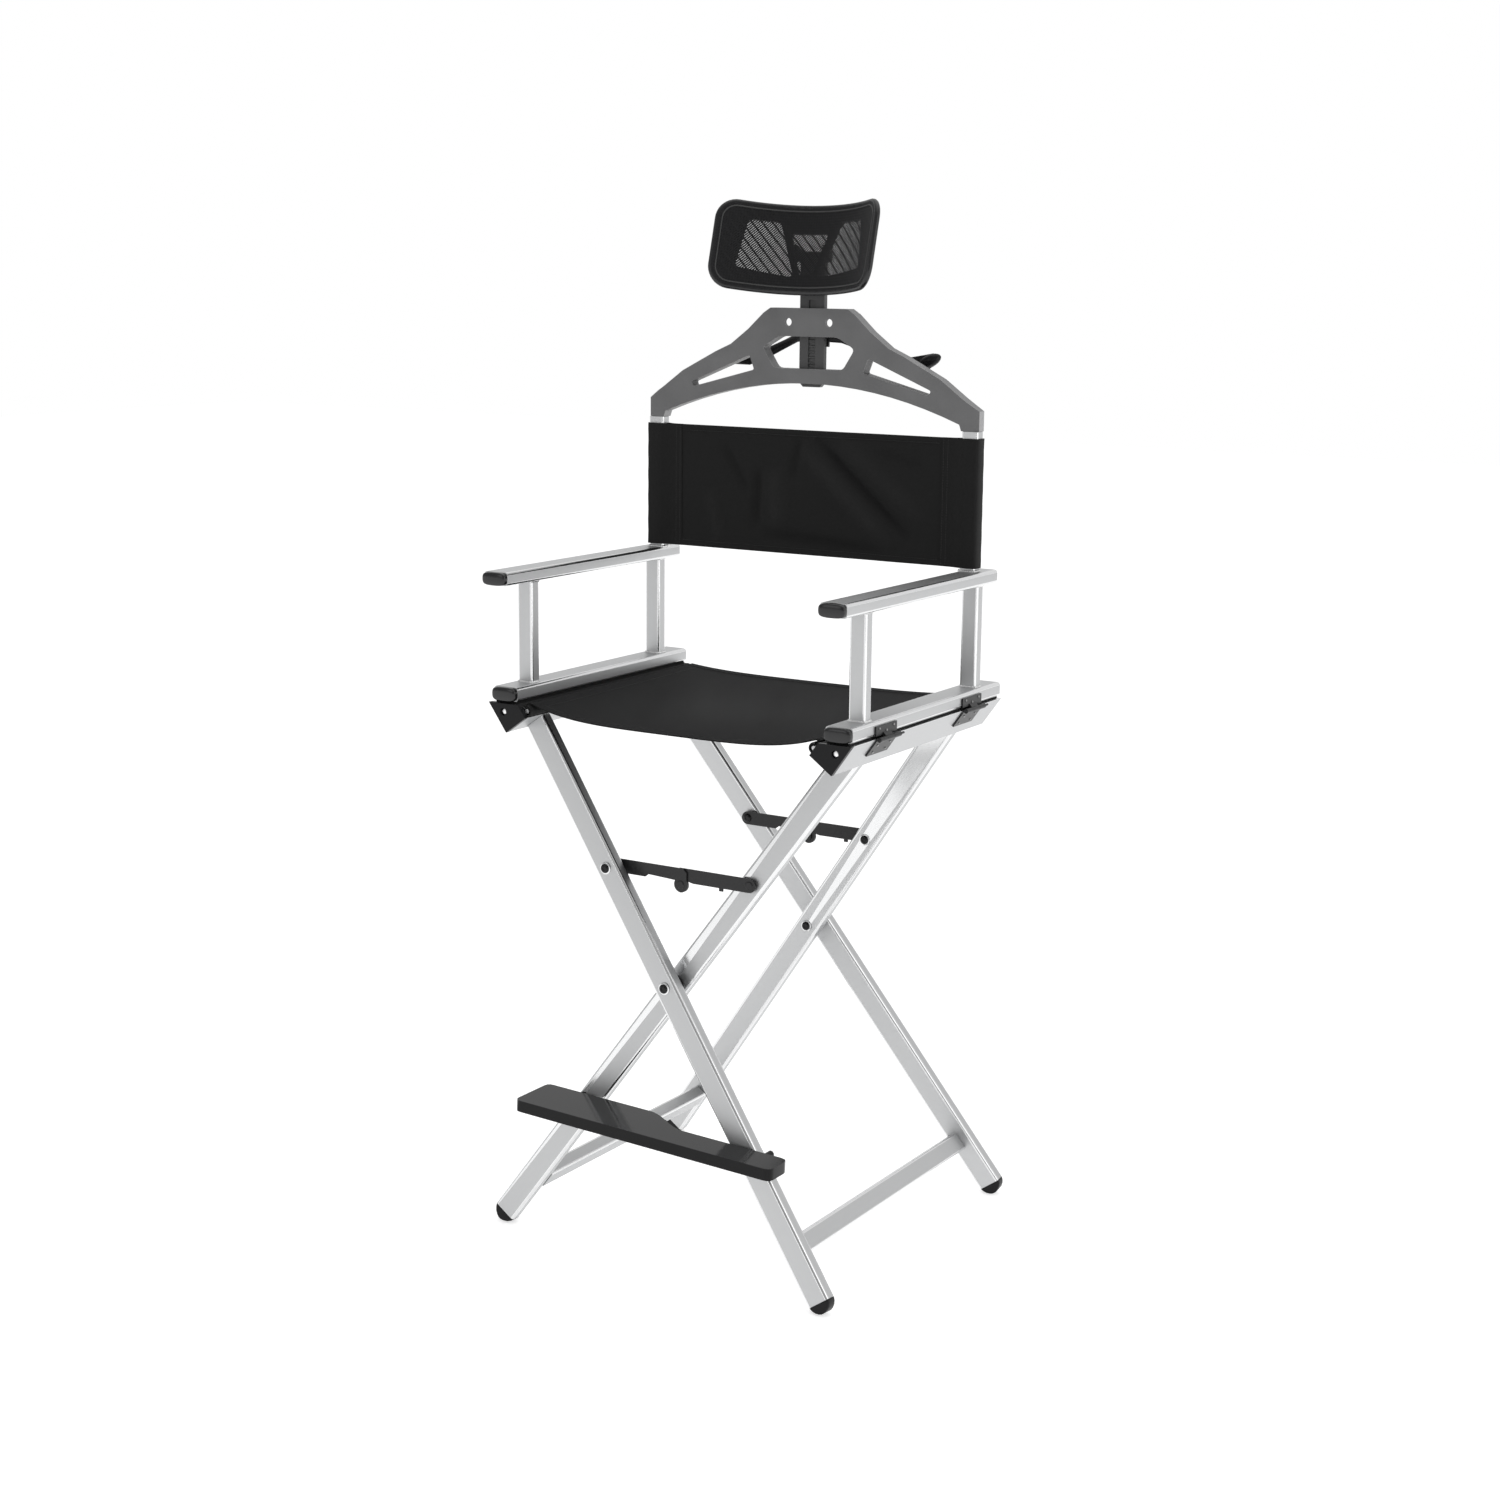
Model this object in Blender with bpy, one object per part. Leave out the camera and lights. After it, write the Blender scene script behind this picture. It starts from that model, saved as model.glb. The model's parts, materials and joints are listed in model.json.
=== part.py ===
"""Tall folding makeup chair: crossed leg frames, hinged arms, cloth slings, footrest and headrest."""
import math

import bmesh
import bpy
from mathutils import Matrix, Vector
from mathutils.geometry import tessellate_polygon

for leftover in list(bpy.data.objects):
    bpy.data.objects.remove(leftover, do_unlink=True)

# Fits, in metres like every size below
TOUCH_GAP = 0.0003
RUN_GAP = 0.0004
SLIDE_GAP = 0.0005
CUT_PAST = 0.002
BORE_CORNER = 0.6
HEAD_TAPER = 0.8

# Crossed legs: +X is right seen from the front, the front is -Y
OPEN_ANGLE = math.radians(35.6)
LEG_WIDTH = 0.0345
LEG_DEPTH = 0.0185
LEG_RADIUS = 0.004
LEG_WALL = 0.0016
LEG_GAP = 0.0125
LEG_CUT_PAST_PIVOT = 0.4509
FRAME_HALF_DEPTH = 0.211
SPLAY_FRONT = math.radians(6.05)
SPLAY_REAR = math.radians(7.97)

# Foot plugs
FOOT_SAG = 0.014
FOOT_STEM = 0.018
FOOT_RINGS = 5
FOOT_CURVED = 0.87
FOOT_ROUND_LIMIT = 0.45

# Low stretchers
STRETCHER_DOWN = 0.3755
STRETCHER_WIDTH = 0.027
STRETCHER_DEPTH = 0.020
STRETCHER_SHIFT = 0.008
STRETCHER_RADIUS = 0.003

# Seat rails
RAIL_TOP = 0.7384
RAIL_OVERHANG = 0.0237
RAIL_WIDTH = 0.039
RAIL_SIDE = 0.0484
RAIL_WALL = 0.002
RAIL_FRONT = -0.2114
RAIL_REAR = 0.2035
RAIL_HOLLOW_WIDTH = 0.0275
RAIL_CAP = 0.007
RAIL_CAP_STEM = 0.012
RAIL_CAP_LAP = 0.0002
RAIL_CAP_HOLE = 0.005
RAIL_CAP_HOLE_IN = 0.0235
RAIL_CAP_HOLE_DROP = 0.0115
LAND_INNER_IN = 0.039
LAND_OUTER_IN = 0.007

# Keder channel along the rail's inner top edge
KEDER_IN = 0.0576
KEDER_DROP = 0.0084
KEDER_OUTER = 0.0075
KEDER_BORE = 0.0055
KEDER_SLOT = 0.0040
KEDER_SLOT_ANGLE = math.radians(65.0)

# Seat sling
SEAT_ROD_RADIUS = 0.0032
HEM_RADIUS = 0.0051
CLOTH = 0.0024
SEAT_FRONT = -0.204
SEAT_REAR = 0.196
SEAT_SAG_FRONT = 0.0184
SEAT_SAG_REAR = 0.0065
SEAT_SAG_MIDDLE = 0.003
SEAT_SAG_POWER = 4
SEAT_COLUMNS = 26
SEAT_WRAP_COLUMNS = 4

# Arm frames
ARM_IN = 0.0225
ARM_RAIL_WIDTH = 0.0393
ARM_RAIL_HEIGHT = 0.0196
ARM_RAIL_FRONT = -0.2103
ARM_RAIL_REAR = 0.2035
ARM_PAD_SPACE = 0.002
ARMREST_WIDTH = 0.038
ARMREST_HEIGHT = 0.0182
ARMREST_TOP = 0.9167
ARMREST_FRONT = -0.2295
ARMREST_REAR = 0.1861
ARM_RADIUS = 0.004
ARM_WALL = 0.0016
POST_WIDTH = 0.024
POST_DEPTH = 0.0176
POST_RADIUS = 0.003
POST_WALL = 0.0015
FRONT_POST_Y = -0.1584
REAR_POST_Y = 0.1502
BACK_POST_IN = 0.0065
BACK_POST_TOP = 1.1032
CAP_LENGTH = 0.008
CAP_ROUND = 0.004
CAP_STEM = 0.015

# Arm hinges
HINGE_OUT = 0.004
HINGE_DROP = 0.0009
HINGE_WIDTH = 0.055
HINGE_STARTS = (-0.1544, 0.0866)
HINGE_BARREL = 0.0032
HINGE_PIN = 0.0015
HINGE_BORE_GAP = 0.0002
HINGE_LEAF = 0.002
HINGE_UPPER_TOP = 0.0135
HINGE_LOWER_LENGTH = 0.028
HINGE_NECK = 0.004
HINGE_PIN_TAIL = 0.010
NECK_LAP = 0.001

# Crossing bolts and braces
BOLT_RADIUS = 0.004
BOLT_HEAD_RADIUS = 0.006
BOLT_HEAD = 0.003
BOLT_HOLE_GAP = 0.0003
NUT_RADIUS = 0.0072
NUT_HEIGHT = 0.005
SPACER_RADIUS = 0.010
BRACE_UP = 0.1791
BRACE_KNUCKLE_DROP = 0.0128
BRACE_PLATE = 0.0020
BRACE_HALF = 0.0095
BRACE_DISC = 0.0105
BRACE_SWEEP = 0.0438
BRACE_PIN = 0.003
BRACE_COLLAR = 0.0055
BRACE_HEAD_RADIUS = 0.006
BRACE_HEAD = 0.0016
STEP_START = 0.048
STEP_END = 0.053
STEP_HALF = 0.0055
TAB_START = 0.040
TAB_END = 0.046
TAB_DROP = 0.004

# Footrest
FOOTREST_LEFT = -0.197
FOOTREST_RIGHT = 0.206
FOOTREST_THICK = 0.016
FOOTREST_AHEAD = 0.0684
FOOTREST_BOLT_Z = 0.189
FOOTREST_SLOPE = math.radians(2.4)
FOOTREST_WALL = 0.003
FOOTREST_CURVE = (-0.030, 0.045)
FOOTREST_CORNER = 0.010
FOOTREST_CELLS = 3
FOOTREST_RIB = 0.0025
FOOTREST_BOLT_REACH = 0.013
FOOTREST_BOSS = 0.020
FOOTREST_DIP = 0.009
FOOTREST_PIN = 0.004
FOOTREST_PEG = 0.005
FOOTREST_PEG_LENGTH = 0.016
FOOTREST_PEG_X = 0.033
FOOTREST_PEG_RISE = 0.002
FOOTREST_STUD = 0.0025
FOOTREST_STUD_SHARE = 0.4
PIN_SIDE = 0.006
PIN_EXIT = 0.026
PIN_REACH = 0.040

# Back sling
BACK_BOTTOM = 0.921
BACK_TOP = 1.094
SLEEVE_CLOTH = 0.0022
SLEEVE_FLAP = 0.028
FLAP_THICK = 0.0036
BACK_FOLD = 0.0022
FLAP_AHEAD = 0.004

# Headrest bridge
BRIDGE_DEPTH = 0.018
BRIDGE_PLATE = 0.005
BRIDGE_WALL = 0.003
BRIDGE_TOP = 1.260
BRIDGE_FOOT_WIDTH = 0.025
FOOT_FACET = 0.0155
FOOT_FACET_BACK = 0.004
BRIDGE_HOLE_X = 0.0322
BRIDGE_HOLE_DROP = 0.019
BRIDGE_HOLE = 0.0055
SPIGOT_LENGTH = 0.025
ARCH_RISE = 0.0548
ARCH_DROP = 0.043
ARCH_INSET = 0.011
WINDOW_ROUND = 0.006
SLOT_ROUND = 0.003

# Bridge outlines for the right half: shares of the half span and of the height, from the top down
SHOULDER = ((0.233, 0.0), (0.275, 0.045), (0.370, 0.191), (0.477, 0.325), (0.573, 0.395), (0.782, 0.574),
            (0.908, 0.727), (1.0, 0.829))
WINDOW = ((-0.176, 0.244), (-0.278, 0.344), (-0.209, 0.524), (0.209, 0.524), (0.278, 0.344), (0.176, 0.244))
SLOT = ((0.359, 0.418), (0.330, 0.545), (0.716, 0.714), (0.728, 0.672))

# Headrest mast and coat hanger
MAST_WIDTH = 0.0385
MAST_THICK = 0.008
MAST_BOTTOM = 1.153
MAST_TOP = 1.336
MAST_GROOVE = 0.011
MAST_GROOVE_DEPTH = 0.0025
MAST_BUMPS = 6
MAST_BUMP_PITCH = 0.0076
MAST_BUMP_START = 1.178
MAST_BUMP_SHARE = 0.7
MAST_CHAMFER = 0.006
TRUNNION_RADIUS = 0.0035
TRUNNION_LENGTH = 0.006
HANGER_PLATE = 0.004
HANGER_HALF = 0.0215
HANGER_BOTTOM = 1.208
HANGER_TOP = 1.229
WING_THICK = 0.0032
WING_STEPS = 14

# Hanger wing stations: out from the middle, back from the guide plate, height, half depth of the blade
HANGER_PATH = ((0.016, 0.004, 1.221, 0.0065), (0.036, 0.014, 1.219, 0.006), (0.060, 0.024, 1.210, 0.006),
               (0.095, 0.032, 1.196, 0.007), (0.128, 0.037, 1.187, 0.009), (0.152, 0.040, 1.189, 0.011),
               (0.166, 0.041, 1.196, 0.007))

# Headrest
HEAD_Y = 0.139
HEAD_Z = 1.338
HEAD_CURVE = 0.180
HEAD_HALF_ARC = 0.136
HEAD_HALF_HEIGHT = 0.060
HEAD_CORNER = 0.028
HEAD_LEAN = math.radians(15.0)
HEAD_FRAME = 0.006
HEAD_MESH = 0.002
HEAD_AXIS_Z = 1.330
LUG_THICK = 0.005
LUG_RADIUS = 0.0075
LUG_ROOTS = (0.008, -0.018)
MESH_LAP = 0.001
MESH_GAP = 0.0007
HEAD_STRIPS = 14

# Headrest windows: along the arc from the middle, up from the middle
SIDE_WINDOW = ((0.047, 0.037), (0.018, -0.038), (0.102, -0.030), (0.092, 0.037))
MIDDLE_WINDOW = ((-0.0295, 0.022), (-0.012, -0.034), (0.012, -0.034), (0.0295, 0.022))
SIDE_WINDOW_ROUND = 0.006
MIDDLE_WINDOW_ROUND = 0.005

# Derived leg directions
SIN_A = math.sin(OPEN_ANGLE)
COS_A = math.cos(OPEN_ANGLE)
TAN_A = SIN_A / COS_A


class Leg:
    """A splayed leg: lean +1 runs from top left to bottom right, end -1 is the front."""

    def __init__(self, lean, end, inset):
        self.lean = lean
        self.end = end
        self.slope = math.tan(SPLAY_FRONT if end < 0 else SPLAY_REAR) * COS_A
        self.axis = Vector((lean * SIN_A, end * self.slope, -COS_A)).normalized()
        self.across = Vector((COS_A, 0.0, lean * SIN_A))
        self.depth = self.across.cross(self.axis)
        self.mid_y = end * (FRAME_HALF_DEPTH - inset - LEG_DEPTH / 2)

    def at(self, down):
        """Point on the centre line, measured down the leg from the crossing."""
        return Vector((self.lean * down * SIN_A, self.mid_y + self.end * self.slope * down, -down * COS_A))

    def face_y(self, side, down):
        """Y of the front (-1) or back (+1) face at a distance down the leg."""
        return self.mid_y + self.end * self.slope * down + side * LEG_DEPTH / 2 / self.depth.y


def rounded_box(width, height, radius, steps=3):
    """Corner-rounded rectangle round the origin, counter-clockwise."""
    points = []
    for sx, sy, start in ((1, 1, 0), (-1, 1, 90), (-1, -1, 180), (1, -1, 270)):
        for k in range(steps + 1):
            a = math.radians(start + 90 * k / steps)
            x = sx * (width / 2 - radius) + radius * math.cos(a)
            y = sy * (height / 2 - radius) + radius * math.sin(a)
            points.append((x, y))
    return points


def foot_rings(leg):
    """Rings of the half-round foot below the tube's end, with the crossing at height zero."""
    half = LEG_WIDTH / 2
    arc = (half ** 2 + FOOT_SAG ** 2) / (2 * FOOT_SAG)
    widest = math.asin(half / arc)
    bore_w = LEG_WIDTH - 2 * LEG_WALL - 2 * TOUCH_GAP
    bore_d = LEG_DEPTH - 2 * LEG_WALL - 2 * TOUCH_GAP
    sizes = [(-FOOT_STEM, bore_w, bore_d), (TOUCH_GAP, bore_w, bore_d)]
    for k in range(FOOT_RINGS):
        a = widest * (1 - FOOT_CURVED * k / (FOOT_RINGS - 1))
        sizes.append((TOUCH_GAP + arc * math.cos(a) - (arc - FOOT_SAG), 2 * arc * math.sin(a), LEG_DEPTH))
    end = leg.at(LEG_CUT_PAST_PIVOT)
    rings = []
    for down, width, depth in sizes:
        radius = min(LEG_RADIUS - LEG_WALL if depth < LEG_DEPTH else LEG_RADIUS, FOOT_ROUND_LIMIT * width)
        ring = [end + leg.axis * down + leg.across * u + leg.depth * v
                for u, v in rounded_box(width, depth, radius)]
        rings.append(ring)
    return rings


INNER_INSET = LEG_DEPTH + LEG_GAP
OUTER_FRONT = Leg(1, -1, 0.0)
OUTER_REAR = Leg(1, 1, 0.0)
INNER_FRONT = Leg(-1, -1, INNER_INSET)
INNER_REAR = Leg(-1, 1, INNER_INSET)
LEGS = {"outer_front_leg": OUTER_FRONT, "outer_rear_leg": OUTER_REAR,
        "inner_front_leg": INNER_FRONT, "inner_rear_leg": INNER_REAR}

# The feet set the crossing's height, and the footrest and rear feet centre the chair in Y
FOOTREST_FRONT = -FRAME_HALF_DEPTH - FOOTREST_AHEAD
PIVOT_Z = -min(p.z for ring in foot_rings(OUTER_REAR) for p in ring)
MID_Y = -(FOOTREST_FRONT + max(p.y for ring in foot_rings(OUTER_REAR) for p in ring)) / 2
SHIFT = Vector((0.0, MID_Y, PIVOT_Z))

# The rails stand over the leg tops, and the arms, hinges, posts and bridge follow the rails
RAIL_OUTER_X = (RAIL_TOP - PIVOT_Z) * TAN_A + RAIL_OVERHANG
RAIL_CAP_HOLE_X = RAIL_OUTER_X - RAIL_CAP_HOLE_IN
LAND_INNER_X = RAIL_OUTER_X - LAND_INNER_IN
LAND_OUTER_X = RAIL_OUTER_X - LAND_OUTER_IN
KEDER_X = RAIL_OUTER_X - KEDER_IN
ARM_X = RAIL_OUTER_X - ARM_IN
HINGE_X = RAIL_OUTER_X + HINGE_OUT
BACK_POST_X = ARM_X - BACK_POST_IN
BRIDGE_FOOT_OUT = BACK_POST_X + POST_WIDTH / 2
BRIDGE_FOOT_IN = BRIDGE_FOOT_OUT - BRIDGE_FOOT_WIDTH

# Arm levels
ARM_RAIL_BOTTOM = RAIL_TOP + ARM_PAD_SPACE
ARM_RAIL_TOP = ARM_RAIL_BOTTOM + ARM_RAIL_HEIGHT
ARMREST_BOTTOM = ARMREST_TOP - ARMREST_HEIGHT
HINGE_Z = RAIL_TOP - HINGE_DROP

# The mast runs between the bridge's plate and the guide plate behind the bridge
BRIDGE_FRONT = REAR_POST_Y - BRIDGE_DEPTH / 2
HANGER_FRONT = BRIDGE_FRONT + BRIDGE_DEPTH + TOUCH_GAP
MAST_BACK = HANGER_FRONT - SLIDE_GAP
MAST_FRONT = MAST_BACK - MAST_THICK


def make_material(name, colour, metallic, roughness):
    material = bpy.data.materials.new(name)
    material.use_nodes = True
    shader = material.node_tree.nodes["Principled BSDF"]
    shader.inputs["Base Color"].default_value = (*colour, 1.0)
    shader.inputs["Metallic"].default_value = metallic
    shader.inputs["Roughness"].default_value = roughness
    return material


ALUMINIUM = ("aluminium", (0.78, 0.79, 0.80), 1.0, 0.35)
STEEL = ("steel", (0.62, 0.62, 0.63), 1.0, 0.3)
BLACK_STEEL = ("black_steel", (0.03, 0.03, 0.032), 0.6, 0.4)
BLACK_PLASTIC = ("black_plastic", (0.02, 0.02, 0.021), 0.0, 0.3)
GREY_PLASTIC = ("grey_plastic", (0.13, 0.13, 0.135), 0.0, 0.35)
CANVAS = ("canvas", (0.02, 0.02, 0.022), 0.0, 0.9)
NETTING = ("netting", (0.025, 0.025, 0.027), 0.0, 0.85)

SMOOTH_CUT_PAST = math.radians(40.0)
bodies = {}


def body(name, at, parent=None):
    """Empty on a body's joint axis."""
    empty = bpy.data.objects.new(name, None)
    empty.empty_display_size = 0.03
    bpy.context.scene.collection.objects.link(empty)
    bodies[name] = (empty, Vector(at))
    if parent:
        empty.parent = bodies[parent][0]
        empty.location = Vector(at) - bodies[parent][1]
    else:
        empty.location = at


def make_object(name, bm, on):
    bmesh.ops.recalc_face_normals(bm, faces=bm.faces)
    mesh = bpy.data.meshes.new(name)
    bm.to_mesh(mesh)
    bm.free()
    empty, origin = bodies[on]
    mesh.transform(Matrix.Translation(-origin))
    obj = bpy.data.objects.new(name, mesh)
    bpy.context.scene.collection.objects.link(obj)
    obj.parent = empty
    return obj


def node(name, bm, on, look):
    """Finished sub-part with its own material."""
    obj = make_object(name, bm, on)
    obj.data.materials.append(make_material(name + "_" + look[0], *look[1:]))
    obj.data.polygons.foreach_set("use_smooth", [True] * len(obj.data.polygons))
    obj.data.set_sharp_from_angle(angle=SMOOTH_CUT_PAST)
    return obj


def combine(obj, bm, operation):
    """Live boolean with a hidden tool object on the same body."""
    tool = make_object(obj.name + "_tool", bm, obj.parent.name)
    tool.hide_render = True
    tool.display_type = "WIRE"
    modifier = obj.modifiers.new(operation.lower(), "BOOLEAN")
    modifier.operation = operation
    modifier.solver = "EXACT"
    modifier.object = tool


def loop_of(bm, points):
    return [bm.verts.new(p) for p in points]


def wall(bm, first, second):
    """Band of faces between two loops of the same length."""
    count = len(first)
    for k in range(count):
        bm.faces.new((first[k], first[(k + 1) % count], second[(k + 1) % count], second[k]))


def cover(bm, loops, normal_axis):
    """Flat face between an outer loop and the holes in it, seen along one axis."""
    if len(loops) == 1:
        bm.faces.new(loops[0])
        return
    keep = [i for i in range(3) if i != normal_axis]
    flat = [[Vector((v.co[keep[0]], v.co[keep[1]], 0.0)) for v in loop] for loop in loops]
    verts = [v for loop in loops for v in loop]
    for triangle in tessellate_polygon(flat):
        bm.faces.new([verts[i] for i in triangle])


def loft(bm, rings):
    """Closed solid through a row of rings of points."""
    loops = [loop_of(bm, ring) for ring in rings]
    for first, second in zip(loops, loops[1:]):
        wall(bm, first, second)
    bm.faces.new(loops[0])
    bm.faces.new(loops[-1])


def turned(bm, origin, axis, profile, steps=14):
    """Solid of revolution from (distance, radius) pairs along an axis."""
    axis = Vector(axis).normalized()
    side = axis.orthogonal().normalized()
    other = axis.cross(side)
    rings = []
    for along, radius in profile:
        centre = Vector(origin) + axis * along
        angles = [math.tau * k / steps for k in range(steps)]
        rings.append([centre + (side * math.cos(a) + other * math.sin(a)) * radius for a in angles])
    loft(bm, rings)


def box(bm, low, high):
    """Rectangular block between two corners."""
    rings = []
    for z in (low[2], high[2]):
        rings.append([Vector((low[0], low[1], z)), Vector((high[0], low[1], z)),
                      Vector((high[0], high[1], z)), Vector((low[0], high[1], z))])
    loft(bm, rings)


def prism(bm, outline, holes, start, end, axis=1, place=None):
    """Extrude flat loops along one axis, with holes right through, then place each point."""
    ends = []
    for level in (start, end):
        loops = []
        for flat in (outline, *holes):
            points = [Vector(p) for p in flat]
            loops.append(loop_of(bm, [Vector((*p[:axis], level, *p[axis:])) for p in points]))
        cover(bm, loops, axis)
        ends.append(loops)
    for first, second in zip(*ends):
        wall(bm, first, second)
    if place:
        for vert in [v for loops in ends for loop in loops for v in loop]:
            vert.co = place(*vert.co)


def tube(bm, profile_size, wall_thick, origin, u, v, axis, planes, closed=False):
    """Rounded-box tube along an axis, cut by a start and an end plane, its far end open or plugged."""
    width, depth, radius = profile_size
    outer = rounded_box(width, depth, radius)
    inner = rounded_box(width - 2 * wall_thick, depth - 2 * wall_thick, radius - BORE_CORNER * wall_thick)
    plug_depth = wall_thick if closed else 0.0
    cuts = ((outer, planes[0], 0.0), (outer, planes[1], 0.0),
            (inner, planes[1], plug_depth), (inner, planes[0], 0.0))
    loops = []
    for profile, (point, normal), back in cuts:
        ring = []
        for a, b in profile:
            base = Vector(origin) + u * a + v * b
            reach = (Vector(point) - base).dot(normal) / axis.dot(normal) - back
            ring.append(base + axis * reach)
        loops.append(loop_of(bm, ring))
    for k in (0, 2, 3):
        wall(bm, loops[k], loops[(k + 1) % 4])
    if closed:
        bm.faces.new(loops[1])
        bm.faces.new(loops[2])
    else:
        wall(bm, loops[1], loops[2])


def circle(x, z, radius, steps=14):
    return [(x + radius * math.cos(math.tau * k / steps), z + radius * math.sin(math.tau * k / steps))
            for k in range(steps)]


def arc(x, z, radius, start, end, steps):
    """Points of an arc, angles in degrees."""
    angles = [math.radians(start + (end - start) * k / steps) for k in range(steps + 1)]
    return [(x + radius * math.cos(a), z + radius * math.sin(a)) for a in angles]


def mirrored(outline, side):
    return [(side * x, z) for x, z in outline]


def rounded(outline, radius, steps=3):
    """Outline with each corner cut round at about a radius."""
    points = []
    count = len(outline)
    for k in range(count):
        before, here, after = (Vector(outline[(k + d) % count]) for d in (-1, 0, 1))
        start = here + (before - here).normalized() * radius
        end = here + (after - here).normalized() * radius
        for j in range(steps + 1):
            t = j / steps
            points.append(tuple(start * (1 - t) ** 2 + here * (2 * t * (1 - t)) + end * t ** 2))
    return points


def offset(outline, distance):
    """Counter-clockwise outline moved inwards by a distance."""
    moved = []
    count = len(outline)
    for k in range(count):
        before, here, after = (Vector(outline[(k + d) % count]) for d in (-1, 0, 1))
        n1 = (here - before).normalized().orthogonal()
        n2 = (after - here).normalized().orthogonal()
        miter = (n1 + n2).normalized()
        moved.append(tuple(here + miter * (distance / max(miter.dot(n1), 0.4))))
    return moved


# Bodies and their joint axes
X_AXIS = Vector((1, 0, 0))
Y_AXIS = Vector((0, 1, 0))
Z_AXIS = Vector((0, 0, 1))
BRACE_X = BRACE_UP * SIN_A
BRACE_Z = PIVOT_Z + BRACE_UP * COS_A
KNUCKLE_Z = BRACE_Z - BRACE_KNUCKLE_DROP
FOOTREST_BOLT_DOWN = (PIVOT_Z - FOOTREST_BOLT_Z) / COS_A
FOOTREST_BOLT_X = FOOTREST_BOLT_DOWN * SIN_A
MAST_MID_Y = MAST_FRONT + MAST_THICK / 2 + MID_Y
body("outer_frame", (0, 0, 0))
body("inner_frame", (0, MID_Y, PIVOT_Z), "outer_frame")
body("left_arm", (-HINGE_X, MID_Y, HINGE_Z), "outer_frame")
body("right_arm", (HINGE_X, MID_Y, HINGE_Z), "inner_frame")
for brace_end, brace_leg in (("front", OUTER_FRONT), ("rear", OUTER_REAR)):
    brace_y = brace_leg.at(-BRACE_UP).y + MID_Y
    body(brace_end + "_brace_outer", (-BRACE_X, brace_y, BRACE_Z), "outer_frame")
    body(brace_end + "_brace_inner", (0, brace_y, KNUCKLE_Z), brace_end + "_brace_outer")
footrest_y = OUTER_FRONT.at(FOOTREST_BOLT_DOWN).y + MID_Y
body("footrest", (FOOTREST_BOLT_X, footrest_y, FOOTREST_BOLT_Z), "outer_frame")
body("bridge", (0, REAR_POST_Y + MID_Y, BACK_POST_TOP), "left_arm")
body("mast", (0, MAST_MID_Y, BRIDGE_TOP), "bridge")
body("headrest", (0, MAST_MID_Y, HEAD_AXIS_Z), "mast")

# Leg tubes, from the seat rail down to the foot
RAIL_BOTTOM_DOWN = -(RAIL_OUTER_X * SIN_A + (RAIL_TOP - PIVOT_Z) * COS_A) + RAIL_SIDE
for name, leg in LEGS.items():
    top_point = leg.at(RAIL_BOTTOM_DOWN + TOUCH_GAP) + SHIFT
    end_point = leg.at(LEG_CUT_PAST_PIVOT) + SHIFT
    top_normal = Vector((leg.lean * SIN_A, 0, -COS_A))
    bm = bmesh.new()
    tube(bm, (LEG_WIDTH, LEG_DEPTH, LEG_RADIUS), LEG_WALL, leg.at(0) + SHIFT, leg.across, leg.depth, leg.axis,
         ((top_point, top_normal), (end_point, leg.axis)))
    leg_body = "outer_frame" if leg.lean > 0 else "inner_frame"
    leg_node = node(name, bm, leg_body, ALUMINIUM)
    drill = bmesh.new()
    reach = 2 * LEG_DEPTH
    drilled = [(0.0, BOLT_RADIUS)]
    if leg.lean > 0:
        drilled.append((-BRACE_UP, BRACE_PIN))
    if leg is OUTER_FRONT:
        drilled.append((FOOTREST_BOLT_DOWN, BRACE_PIN))
    for down, radius in drilled:
        hole = radius + BOLT_HOLE_GAP
        turned(drill, leg.at(down) + SHIFT - Y_AXIS * reach, Y_AXIS, [(0, hole), (2 * reach, hole)])
    combine(leg_node, drill, "DIFFERENCE")
    if leg.lean < 0:
        outwards = -leg.end
        head = leg.face_y(outwards, -BRACE_UP) + MID_Y - outwards * LEG_WALL / 2
        bolt = bmesh.new()
        turned(bolt, (BRACE_X, head + outwards * (BOLT_HEAD + LEG_WALL), BRACE_Z), -outwards * Y_AXIS,
               [(0, BRACE_HEAD_RADIUS * HEAD_TAPER), (BOLT_HEAD / 3, BRACE_HEAD_RADIUS),
                (BOLT_HEAD + LEG_WALL, BRACE_HEAD_RADIUS), (BOLT_HEAD + LEG_WALL, BRACE_PIN),
                (BOLT_HEAD + LEG_DEPTH, BRACE_PIN)])
        combine(leg_node, bolt, "UNION")

# Feet
for name, leg in LEGS.items():
    bm = bmesh.new()
    loft(bm, [[p + SHIFT for p in ring] for ring in foot_rings(leg)])
    node(name.replace("leg", "foot"), bm, "outer_frame" if leg.lean > 0 else "inner_frame", BLACK_PLASTIC)

# Low stretchers between the front and rear leg of each frame
for name, front, rear in (("outer_stretcher", OUTER_FRONT, OUTER_REAR),
                          ("inner_stretcher", INNER_FRONT, INNER_REAR)):
    along = Vector((front.lean * SIN_A, 0, -COS_A))
    start = front.at(STRETCHER_DOWN) + SHIFT + front.depth * (LEG_DEPTH / 2 + TOUCH_GAP)
    finish = rear.at(STRETCHER_DOWN) + SHIFT - rear.depth * (LEG_DEPTH / 2 + TOUCH_GAP)
    middle = start - front.across * (front.lean * STRETCHER_SHIFT)
    bm = bmesh.new()
    size = (STRETCHER_WIDTH, STRETCHER_DEPTH, STRETCHER_RADIUS)
    tube(bm, size, LEG_WALL, middle, along, front.across, Y_AXIS,
         ((start, front.depth), (finish, rear.depth)))
    node(name, bm, name.replace("stretcher", "frame"), ALUMINIUM)

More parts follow.
